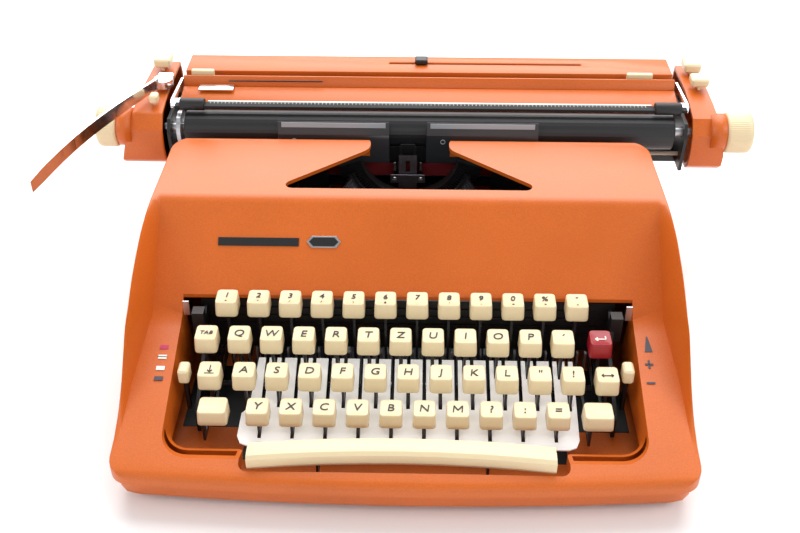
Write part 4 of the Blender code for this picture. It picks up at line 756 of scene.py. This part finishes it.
def curved(value, stops):
    """Reads a value off a smooth curve through the stops."""
    if value <= stops[0][0]:
        return stops[0][1]
    if value >= stops[-1][0]:
        return stops[-1][1]
    spots = [stops[0], *stops, stops[-1]]
    for before, start, end, after in zip(spots, spots[1:], spots[2:], spots[3:]):
        if start[0] <= value <= end[0] and end[0] > start[0]:
            width = end[0] - start[0]
            share = (value - start[0]) / width
            enter = (end[1] - before[1]) / max(end[0] - before[0], 1e-9) * width
            leave = (after[1] - start[1]) / max(after[0] - start[0], 1e-9) * width
            square, cube = share ** 2, share ** 3
            return (
                (2 * cube - 3 * square + 1) * start[1]
                + (cube - 2 * square + share) * enter
                + (3 * square - 2 * cube) * end[1]
                + (cube - square) * leave
            )
    return stops[-1][1]


CASE_HALF, DECK_HALF, WALL, SEAM_Z = 163.0, 157.5, 2.5, 20.0
RAIL_SLOPE, LIP_Z, LIP_BOW = 0.272, 30.0, 7.0
PANEL_FOOT_Y, CREASE_Y, DECK_Z, DECK_REAR_Y = 105.8, 156.0, 109.0, 229.0
FRONT_CORNER, DECK_CORNER = 11.0, 15.0
CHEEK_FRONT_Y, CHEEK_WIDTH, RIDGE_START_Y = 56.0, 5.8, 20.0
SHELF_HALF, SHELF_REAR_Y, SHELF_Z = 154.0, 296.0, 70.0
CREASE_RADIUS = 3.5


def rail_height(y):
    return LIP_Z + RAIL_SLOPE * (y - 8.0)


PANEL_SLOPE = (DECK_Z - rail_height(PANEL_FOOT_Y)) / (CREASE_Y + 1.0 - PANEL_FOOT_Y)


def floor_height(y):
    """Height of the case between its cheeks, with a rounded lip and a rounded crease."""
    from_lip = y + 3.0
    if from_lip < 4.0:
        return rail_height(y) - 3.6 + 3.6 * math.sqrt(max(1 - (1 - from_lip / 4.0) ** 2, 0.0))
    if y < PANEL_FOOT_Y:
        return rail_height(y)
    crease = CREASE_Y + 1.0
    panel = rail_height(PANEL_FOOT_Y) + PANEL_SLOPE * (y - PANEL_FOOT_Y)
    if y < crease - CREASE_RADIUS:
        return panel
    if y < crease + CREASE_RADIUS:
        share = (y - crease + CREASE_RADIUS) / (2 * CREASE_RADIUS)
        start = DECK_Z - PANEL_SLOPE * CREASE_RADIUS
        return start + PANEL_SLOPE * 2 * CREASE_RADIUS * (share - share ** 2 / 2)
    to_rear = DECK_REAR_Y - y
    if to_rear < 3.0:
        return DECK_Z - 3.0 + 3.0 * math.sqrt(max(1 - (1 - to_rear / 3.0) ** 2, 0.0))
    return DECK_Z


def ridge_height(y):
    """Crest of each cheek, which climbs in a long curve from the rail to the deck."""
    climb = (
        (RIDGE_START_Y, 0.04),
        (35.0, 0.139),
        (49.0, 0.278),
        (60.0, 0.418),
        (72.0, 0.57),
        (80.0, 0.627),
        (100.0, 0.785),
        (124.0, 0.922),
        (138.0, 0.97),
        (152.0, 0.997),
        (CREASE_Y + 9.0, 1.0),
    )
    share = curved(y, climb)
    if y < RIDGE_START_Y or share >= 1.0:
        return floor_height(y)
    return max(LIP_Z + share * (DECK_Z - LIP_Z), floor_height(y))


def half_width(y):
    width = between(
        y, ((LIP_FRONT / MM + FRONT_CORNER, CASE_HALF), (CREASE_Y, DECK_HALF + 1.0), (220.0, DECK_HALF))
    )
    into_front = y - LIP_FRONT / MM
    if into_front < FRONT_CORNER:
        width -= FRONT_CORNER - math.sqrt(max(FRONT_CORNER ** 2 - (FRONT_CORNER - into_front) ** 2, 0.0))
    into_rear = DECK_REAR_Y - y
    if into_rear < DECK_CORNER:
        width -= DECK_CORNER - math.sqrt(max(DECK_CORNER ** 2 - (DECK_CORNER - into_rear) ** 2, 0.0))
    return width


def stations():
    """Depths of the sections: close together where the case turns, apart where it is flat."""
    places = [FRONT_CORNER * (1 - math.cos(math.pi / 2 * step / 7)) - 3.0 for step in range(8)]
    places += [RIDGE_START_Y + step * 4.0 for step in range(22)]
    places += [PANEL_FOOT_Y + step * 5.0 for step in range(9)]
    places += [CREASE_Y + 1.0 - CREASE_RADIUS + step * 1.0 for step in range(0, 8)]
    places += [CREASE_Y + 9.0, 185.0, 200.0]
    places += [DECK_REAR_Y - DECK_CORNER * (1 - math.sin(math.pi / 2 * step / 8)) for step in range(9)]
    places += [DECK_REAR_Y - 3.0 + 3.0 * math.sin(math.pi / 2 * step / 5) for step in range(1, 5)]
    return sorted(set(round(place, 3) for place in places))


def case_section(y, inset):
    """Half a section, middle to edge: flat floor, rising cheek, rounded ridge. The cheeks are solid."""
    edge = half_width(y) - inset
    width = between(y, ((CHEEK_FRONT_Y, 0.52 * CHEEK_WIDTH), (PANEL_FOOT_Y, CHEEK_WIDTH)))
    foot = edge - width
    low = floor_height(y) - inset
    lift = 0.0 if inset > 0.0 else ridge_height(y) - floor_height(y)
    section = [(foot * share, low) for share in (0.0, 0.25, 0.5, 0.75, 0.93, 1.0)]
    for share in (0.1, 0.2, 0.3, 0.42, 0.54, 0.66, 0.75, 0.84):
        section.append(
            (
                foot + width * share,
                low + lift * curved(share, ((0.0, 0.0), (0.3, 0.5), (0.66, 0.9), (0.84, 1.0)))
            )
        )
    for step in range(1, 6):
        turn = math.radians(90.0 * step / 5)
        section.append(
            (foot + width * (0.84 + 0.16 * math.sin(turn)), low + lift - 2.4 * (1 - math.cos(turn)))
        )
    return section


def case_block(inset, bottom):
    """The closed outer form of the case, or of its hollow."""
    shape = bmesh.new()
    rows = []
    places = stations()
    last = places[-1] - places[0]
    for y in places:
        drawn = places[0] + inset + (y - places[0]) * (last - 2 * inset) / last
        half = case_section(y, inset)
        row = []
        for x, z in [(-x, z) for x, z in reversed(half[1:])] + half:
            bow = LIP_BOW * (x / CASE_HALF) ** 2 * max(0.0, 1.0 - (y + 3.0) / 100.0)
            row.append(shape.verts.new(at(x, drawn + bow, z)))
        rows.append(row)
    for near, far in zip(rows, rows[1:]):
        for index in range(len(near) - 1):
            shape.faces.new((near[index], near[index + 1], far[index + 1], far[index]))
    rim = list(rows[0]) + [row[-1] for row in rows[1:]]
    rim += list(reversed(rows[-1][:-1])) + [row[0] for row in reversed(rows[1:-1])]
    rings = [rim]
    for share in (0.5, 1.0):
        ring = []
        for corner in rim:
            height = corner.co.z / MM
            spread = 1.0 + 0.012 * max(0.0, height - LIP_Z) / (DECK_Z - LIP_Z) * share
            x = ORIGIN.x + (corner.co.x - ORIGIN.x) * spread
            z = corner.co.z + (bottom * MM - corner.co.z) * share
            ring.append(shape.verts.new((x, corner.co.y, z)))
        rings.append(ring)
    for upper, lower in zip(rings, rings[1:]):
        for index in range(len(rim)):
            after = (index + 1) % len(rim)
            shape.faces.new((lower[index], lower[after], upper[after], upper[index]))
    shape.faces.new(list(reversed(rings[-1])))
    bmesh.ops.recalc_face_normals(shape, faces=shape.faces)
    return mesh_of(shape, "case_block")


def mirrored(right, close=()):
    return [(-x, y) for x, y in reversed(right)] + list(right) + list(close)


WELL_HALF, WELL_FRONT_Y, WELL_REAR_Y, WELL_CORNER = 134.0, 26.0, 114.5, 13.0
NOTCH_HALF, NOTCH_FRONT_Y = 91.0, 6.0


def well_half(grow):
    """Right half of the keyboard opening, with the notch for the space bar."""
    corner = WELL_CORNER + grow
    soft = 5.0 + grow
    right = arc((NOTCH_HALF + grow - soft, NOTCH_FRONT_Y - grow + soft), soft, -90.0, 0.0, 6)
    lip = max(2.5 - grow, 0.2)
    right += arc((NOTCH_HALF + grow + lip, WELL_FRONT_Y - grow - lip), lip, 180.0, 90.0, 4)
    right += arc((WELL_HALF + grow - corner, WELL_FRONT_Y - grow + corner), corner, -90.0, 0.0, 10)
    return right


shell = case_block(0.0, SEAM_Z)
shell = cut(shell, [block((-SHELF_HALF, SHELF_HALF), (200, SHELF_REAR_Y), (SEAM_Z, SHELF_Z))], "UNION")
hollow = case_block(WALL, SEAM_Z - 2)
hollow = cut(
    hollow,
    [
        block(
            (-SHELF_HALF + WALL, SHELF_HALF - WALL), (195, SHELF_REAR_Y - WALL), (SEAM_Z - 2, SHELF_Z - WALL)
        )
    ],
    "UNION",
)
wall_end = WELL_REAR_Y - 0.5
well_walls = prism(
    mirrored(well_half(WALL), [(WELL_HALF + WALL, wall_end), (-WELL_HALF - WALL, wall_end)]), "XY", (0, 120)
)
hollow = cut(hollow, [well_walls])
vee_right = [(70.0, 167.0)]
vee_right += arc((72.6, 171.4), 4.4, -90.0, 52.0, 8)
vee_right += arc((36.5, 220.6), 10.5, 232.0, 180.0, 6)
vee_right += [(26.0, 223.0)]
vee_right += arc((34.0, 223.0), 8.0, 180.0, 97.0, 6)
vee_right += [(34.0, 235.0)]
openings = [
    hollow,
    prism(mirrored(well_half(0.0), [(WELL_HALF, WELL_REAR_Y), (-WELL_HALF, WELL_REAR_Y)]), "XY", (10, 120)),
    prism(mirrored(vee_right), "XY", (80, 130)),
    block((-128, 128), (230.5, 288), (60, 80)),
    block((-120, 120), (SHELF_REAR_Y - 5, SHELF_REAR_Y + 5), (24, 64)),
    block((-56, 56), (223, 231), (60, 97)),
]


def well_ring(side, front, corner):
    """The keyboard opening's round-cornered edge at one height."""
    right = arc((side - corner, front + corner), corner, -90.0, 0.0, 10)
    return mirrored(right, [(side, WELL_REAR_Y), (-side, WELL_REAR_Y)])


bevel = bmesh.new()
lower_edge = [bevel.verts.new(at(x, y, 25.0)) for x, y in well_ring(WELL_HALF, WELL_FRONT_Y, WELL_CORNER)]
upper = well_ring(WELL_HALF + 2.0, 12.0, WELL_CORNER + 3.0)
upper_edge = [bevel.verts.new(at(x, y, rail_height(y) + 0.3)) for x, y in upper]
clear_edge = [bevel.verts.new(at(x, y, rail_height(y) + 30.0)) for x, y in upper]
skinned(bevel, [lower_edge, upper_edge, clear_edge])
bmesh.ops.recalc_face_normals(bevel, faces=bevel.faces)
openings.append(mesh_of(bevel, "well_bevel"))
shell = cut(shell, openings)
shell = rounded(merged(shell, flat_angle=0.6), 1.1 * MM)
new_piece("case_shell", shell, ORANGE, "base", "upper_shell", slot="orange_case")

finished(ORANGE, "rear_panel")

# ---------------------------------------------------------------------------------------------------------
# Small fittings on the shell: coloured marks for the selectors, two blank plates pinned to the sloping
# panel, and a bright bracket with a screw in each upper corner of the keyboard opening.
MARK_PINK = moulded("mark_magenta", tint(190, 40, 90), 0.5, 900.0, 0.00002)
MARK_WHITE = moulded("mark_white", tint(242, 240, 232), 0.5, 900.0, 0.00002, shade=0.02)
MARK_SLATE = moulded("mark_slate", tint(66, 62, 72), 0.5, 900.0, 0.00002)


def oblong(half_x, half_y):
    """A rectangle's outline about its centre."""
    return [(-half_x, -half_y), (half_x, -half_y), (half_x, half_y), (-half_x, half_y)]


def slab(shape, count, name):
    """Faces round two outlines of count points each, already placed, the lower one first."""
    shape.verts.ensure_lookup_table()
    shape.faces.new([shape.verts[count + index] for index in range(count)])
    shape.faces.new([shape.verts[index] for index in reversed(range(count))])
    for index in range(count):
        after = (index + 1) % count
        shape.faces.new([shape.verts[spot] for spot in (index, after, count + after, count + index)])
    return mesh_of(shape, name)


def on_rail(outline, centre_x, centre_y):
    """A thin inlay lying on the sloping rail beside the keys."""
    shape = bmesh.new()
    for lift in (0.0, 0.25):
        for x, y in outline:
            depth = centre_y + y
            shape.verts.new(at(centre_x + x, depth, rail_height(depth) - 0.1 + lift))
    return slab(shape, len(outline), "mark")


for name, outline, x, y, colour in (
    ("ribbon_mark_red", oblong(2.5, 1.3), -143.3, 82.8, MARK_PINK),
    ("ribbon_mark_stencil", oblong(2.5, 1.3), -143.3, 76.2, MARK_WHITE),
    ("ribbon_mark_plain", oblong(2.5, 1.3), -143.3, 68.7, MARK_WHITE),
    ("ribbon_mark_dark", oblong(2.5, 1.3), -143.3, 61.9, MARK_SLATE),
    ("ribbon_mark_line", oblong(2.6, 0.35), -143.3, 76.2, MARK_SLATE),
    ("touch_mark_wedge", [(-2.3, -5.0), (2.3, -5.0), (0.4, 5.5), (-0.4, 5.5)], 142.8, 89.0, MARK_SLATE),
    ("touch_mark_plus", oblong(2.4, 0.6), 142.0, 75.7, MARK_SLATE),
    ("touch_mark_plus_upright", oblong(0.6, 2.7), 142.0, 75.7, MARK_SLATE),
    ("touch_mark_minus", oblong(2.4, 0.6), 141.6, 63.5, MARK_SLATE),
):
    new_piece(name, on_rail(outline, x, y), colour, "base")


def on_panel(outline, centre_x, centre_y, thick):
    """A thin plate lying on the sloping panel; the outline is (across, up the slope)."""
    rise = math.hypot(1.0, PANEL_SLOPE)
    shape = bmesh.new()
    foot = Vector((centre_x, centre_y, rail_height(PANEL_FOOT_Y) + PANEL_SLOPE * (centre_y - PANEL_FOOT_Y)))
    along = Vector((0.0, 1.0 / rise, PANEL_SLOPE / rise))
    out = Vector((0.0, -PANEL_SLOPE / rise, 1.0 / rise))
    for lift in (-0.1, thick):
        for x, up in outline:
            shape.verts.new(at(*(foot + Vector((x, 0.0, 0.0)) + along * up + out * lift)))
    return slab(shape, len(outline), "plate")


six_sided = [(-10.5, 0.0), (-7.5, 3.6), (7.5, 3.6), (10.5, 0.0), (7.5, -3.6), (-7.5, -3.6)]
inner_six = [(across * 0.86, up * 0.76) for across, up in six_sided]
for name, outline, x, y, thick, edge, look, slot in (
    ("long", oblong(24.7, 2.6), -91.2, 137.3, 0.7, 0.25, BLACK, "black_metal"),
    ("small", six_sided, -51.3, 137.5, 0.9, 0.25, STEEL, "chrome_trim"),
    ("small_face", inner_six, -51.3, 137.5, 1.1, 0.2, BLACK, "black_metal"),
):
    plate = rounded(on_panel(outline, x, y, thick), edge * MM)
    new_piece("blank_plate_" + name, plate, look, "base", slot=slot)
for side, name in ((-1, "left"), (1, "right")):
    spot = sorted((side * 130.6, side * 134.6))
    new_piece(
        "well_bracket_" + name, rounded(block(spot, (104.0, 105.2), (57.5, 68.0)), 0.3 * MM), STEEL, "base",
        slot="bright_steel"
    )

# ---------------------------------------------------------------------------------------------------------
# Carriage: a folded black steel bed rolls on the two rails. Its covers, end caps and paper table are orange
# mouldings, clipped on, and the scale between them is stoved black.
finished(BLACK, "carriage_frame")
CAP_SLOPES = {
    "end_cap_right": ((211.5, 250.0, 100.0), (206.5, 262.0, 121.0), (205.6, 318.0, 121.0)),
    "end_cap_left": ((-197.5, 240.0, 90.0), (-189.0, 255.0, 119.0), (-186.5, 318.0, 121.0)),
}
for node, (first, second, third) in CAP_SLOPES.items():
    shape = bmesh.new()
    shape.from_mesh(merged(frame["nodes"][node].data.copy(), 4e-6, 2.0))
    normal = (at(*second) - at(*first)).cross(at(*third) - at(*first)).normalized()
    if normal.x * first[0] < 0:
        normal = -normal
    everything = shape.verts[:] + shape.edges[:] + shape.faces[:]
    bmesh.ops.bisect_plane(shape, geom=everything, plane_co=at(*first), plane_no=normal, clear_outer=True)
    bmesh.ops.holes_fill(shape, edges=[edge for edge in shape.edges if edge.is_boundary])
    bmesh.ops.recalc_face_normals(shape, faces=shape.faces)
    cap_mesh = mesh_of(shape, node + "_cover")
    cap_mesh = rounded(cap_mesh, 1.8 * MM, 4, 26.0)
    new_piece(node + "_cover", cap_mesh, ORANGE, "carriage", node, slot="orange_case")
remoulded("front_cover", 1.4, ORANGE, segments=3, slot="orange_case")
remoulded("rear_cover", 1.8, ORANGE, segments=3, slot="orange_case")
remoulded("paper_table", 0.4, ORANGE, segments=2, slot="orange_case")

# ---------------------------------------------------------------------------------------------------------
# Platen, its knobs and its ratchet: a black rubber roller on a steel shaft. The knobs are moulded in cream
# with fine grips, and the toothed wheel at the left end is pressed steel.
PLATEN_RUBBER = moulded("platen_rubber", tint(30, 30, 33), 0.42, 300.0, 0.00005)
finished(PLATEN_RUBBER, "platen")
finished(STEEL, "platen_shaft", "ratchet_wheel")
PLATEN_AXIS = (250.0, 104.5)


def turned(profile, flutes=0, depth=0.0, steps=96):
    """A form turned about the platen's axis; its profile is (x, radius), from one end to the other."""
    shape = bmesh.new()
    rings = []
    for x, radius in profile:
        ring = []
        for step in range(steps):
            angle = 2 * math.pi * step / steps
            bite = depth * (0.5 - 0.5 * math.cos(flutes * angle)) if flutes else 0.0
            reach = radius - (bite if radius > 9.0 else 0.0)
            ring.append(
                shape.verts.new(
                    at(x, PLATEN_AXIS[0] + reach * math.cos(angle), PLATEN_AXIS[1] + reach * math.sin(angle))
                )
            )
        rings.append(ring)
    skinned(shape, rings)
    bmesh.ops.recalc_face_normals(shape, faces=shape.faces)
    mesh = mesh_of(shape, "turned")
    mesh.shade_smooth()
    return mesh


KNOB_RADIUS = 13.9
for node, inner, outer in (("knob_left", -200.4, -214.4), ("knob_right", 213.8, 231.5)):
    way = 1 if outer > inner else -1
    length = abs(outer - inner)
    knob = [
        (inner, 9.0), (inner, KNOB_RADIUS - 1.2), (inner + way * 0.8, KNOB_RADIUS - 0.3),
        (inner + way * 2.0, KNOB_RADIUS)
    ]
    knob += [(inner + way * length * share, KNOB_RADIUS) for share in (0.3, 0.5, 0.7)]
    knob += [
        (outer - way * 2.0, KNOB_RADIUS - 0.1), (outer - way * 0.7, KNOB_RADIUS - 0.9),
        (outer, KNOB_RADIUS - 2.4)
    ]
    knob += [(outer, 8.8), (outer - way * 0.8, 8.0), (outer - way * 0.8, 3.0)]
    new_piece(node + "_grip", turned(knob, 60, 0.28, 240), CREAM, "platen", node, slot="cream_keys")
for name, inner, outer in (("collar_left", -190.5, -200.1), ("collar_right", 203.0, 213.6)):
    way = 1 if outer > inner else -1
    collar = [(inner, 4.0), (inner, 12.9), (outer - way * 0.6, 12.9), (outer, 12.3), (outer, 4.0)]
    new_piece(name, turned(collar), ORANGE, "carriage", slot="orange_case")
RUBBER_ROLLER = moulded("feed_rubber", tint(170, 162, 146), 0.55, 500.0, 0.00004)
finished(RUBBER_ROLLER, "feed_roller")

# ---------------------------------------------------------------------------------------------------------
# Paper bail: two chromed arms carry a black bar with a printed scale and a rubber grip at each end. It lifts
# off the platen on pins at the back of the carriage.
WHITE = enamelled("white_enamel", tint(255, 255, 252), 0.55)
CHROME = brushed("chrome", (0.86, 0.87, 0.89), 0.16, "X", 300.0)
bail = merged(frame["nodes"]["paper_bail"].data.copy(), 3e-6)
bar_y, bar_z = 252.0, 121.5
bar_zone = block((-156.0, 181.8), (bar_y - 12.0, bar_y + 8.0), (bar_z - 7.0, bar_z + 7.0))
new_piece("bail_arms", cut(bail, [bar_zone]), CHROME, "paper_bail", "paper_bail", slot="chrome_trim")
scale_bar = rounded(block((-160.0, 186.0), (bar_y - 5.2, bar_y + 1.2), (bar_z - 0.9, bar_z + 0.9)), 0.4 * MM)
BAIL_BLACK = moulded("bail_black_lacquer", tint(15, 15, 17), 0.75, 600.0, 0.00004)
new_piece("bail_scale_bar", scale_bar, BAIL_BLACK, "paper_bail", slot="black_metal")
# Painted highlight: this white strip along the back edge of the scale bar stands for light caught on that
# edge.
painted_highlight_strip = rounded(
    block((-138.0, 163.0), (bar_y + 1.3, bar_y + 2.5), (bar_z - 0.6, bar_z + 1.3)), 0.2 * MM, 2
)
new_piece("bail_white_edge", painted_highlight_strip, WHITE, "paper_bail")


def bail_grip(x, length):
    """A rubber roller on the bail bar, with softened ends."""
    shape = bmesh.new()
    rings = []
    for along, radius in (
        (0.0, 2.4), (0.0, 3.6), (0.5, 4.1), (1.0, 4.2), (length - 1.0, 4.2), (length - 0.5, 4.1),
        (length, 3.6), (length, 2.4)
    ):
        turn = [2 * math.pi * step / 40 for step in range(40)]
        rings.append(
            [
                shape.verts.new(
                    at(x + along, bar_y - 1.6 + radius * math.cos(a), bar_z + 0.4 + radius * math.sin(a))
                ) for a in turn
            ]
        )
    skinned(shape, rings)
    bmesh.ops.recalc_face_normals(shape, faces=shape.faces)
    mesh = mesh_of(shape, "grip")
    mesh.shade_smooth()
    return mesh


BAIL_RUBBER = moulded("bail_rubber", tint(24, 24, 26), 0.5, 700.0, 0.00006)
new_piece("bail_grip_left", bail_grip(-156.6, 17.0), BAIL_RUBBER, "paper_bail", slot="rubber")
new_piece("bail_grip_right", bail_grip(164.4, 18.0), BAIL_RUBBER, "paper_bail", slot="rubber")


def repeated(name, piece_mesh, count, start, step, material, body, slot=None):
    """Geometry Nodes: copies of one small mesh along a line, joined into one plain mesh."""
    tree = bpy.data.node_groups.new(name, "GeometryNodeTree")
    sockets = {}
    for title, kind in (
        ("Count", "NodeSocketInt"), ("Start", "NodeSocketVector"), ("Step", "NodeSocketVector")
    ):
        sockets[title] = tree.interface.new_socket(title, in_out="INPUT", socket_type=kind).identifier
    sockets["Piece"] = tree.interface.new_socket(
        "Piece", in_out="INPUT", socket_type="NodeSocketObject"
    ).identifier
    sockets["Finish"] = tree.interface.new_socket(
        "Finish", in_out="INPUT", socket_type="NodeSocketMaterial"
    ).identifier
    tree.interface.new_socket("Geometry", in_out="OUTPUT", socket_type="NodeSocketGeometry")
    entry = tree.nodes.new("NodeGroupInput")
    line = tree.nodes.new("GeometryNodeMeshLine")
    part = tree.nodes.new("GeometryNodeObjectInfo")
    copies = tree.nodes.new("GeometryNodeInstanceOnPoints")
    solid = tree.nodes.new("GeometryNodeRealizeInstances")
    paint = tree.nodes.new("GeometryNodeSetMaterial")
    leave = tree.nodes.new("NodeGroupOutput")
    tree.links.new(entry.outputs["Count"], line.inputs["Count"])
    tree.links.new(entry.outputs["Start"], line.inputs["Start Location"])
    tree.links.new(entry.outputs["Step"], line.inputs["Offset"])
    tree.links.new(entry.outputs["Piece"], part.inputs["Object"])
    tree.links.new(line.outputs["Mesh"], copies.inputs["Points"])
    tree.links.new(part.outputs["Geometry"], copies.inputs["Instance"])
    tree.links.new(copies.outputs["Instances"], solid.inputs["Geometry"])
    tree.links.new(solid.outputs["Geometry"], paint.inputs["Geometry"])
    tree.links.new(entry.outputs["Finish"], paint.inputs["Material"])
    tree.links.new(paint.outputs["Geometry"], leave.inputs["Geometry"])
    original = draft(piece_mesh)
    holder = draft(bpy.data.meshes.new(name))
    step_modifier = holder.modifiers.new("copies", "NODES")
    step_modifier.node_group = tree
    for title, value in (
        ("Count", count), ("Start", start), ("Step", step), ("Piece", original), ("Finish", material)
    ):
        step_modifier[sockets[title]] = value
    result = read_mesh(holder)
    bpy.data.objects.remove(holder)
    bpy.data.objects.remove(original)
    return new_piece(name, result, material, body, slot=slot)


tick = prism([(-0.16, -0.9), (0.16, -0.9), (0.16, 0.9), (-0.16, 0.9)], "XY", (-0.05, 0.05))
tick.transform(Matrix.Translation(-ORIGIN))
TICK_STEP = 2.54
repeated(
    "bail_scale_ticks", tick, 117, at(-136.0, bar_y - 0.1, bar_z + 0.95), (TICK_STEP * MM, 0.0, 0.0),
    WHITE_INK, "paper_bail"
)

# ---------------------------------------------------------------------------------------------------------
# Carriage controls: chromed return lever, cream line-space selector, release buttons, margin stops and the
# sliding paper guide. Each turns on a screw or slides along the table.
finished(CHROME, "return_lever")
for node in (
    "line_space_selector", "carriage_release_left", "carriage_release_right", "paper_release_lever",
    "margin_stop_left", "margin_stop_right"
):
    remoulded(node, 0.7, CREAM, segments=3, slot="cream_keys")
finished(CHROME, "paper_side_guide")
finished(BLACK, "rear_slider")
front_line = rounded(block((-128.0, -62.0), (281.25, 281.65), (123.4, 124.2)), 0.05 * MM, 2)
new_piece("guide_track_line", front_line, BLACK, "carriage", slot="black_metal")
slot_floor = rounded(block((-15.6, 120.6), (306.2, 308.2), (124.6, 124.9)), 0.05 * MM, 2)
new_piece("rear_slot_floor", slot_floor, BLACK, "carriage", slot="black_metal")
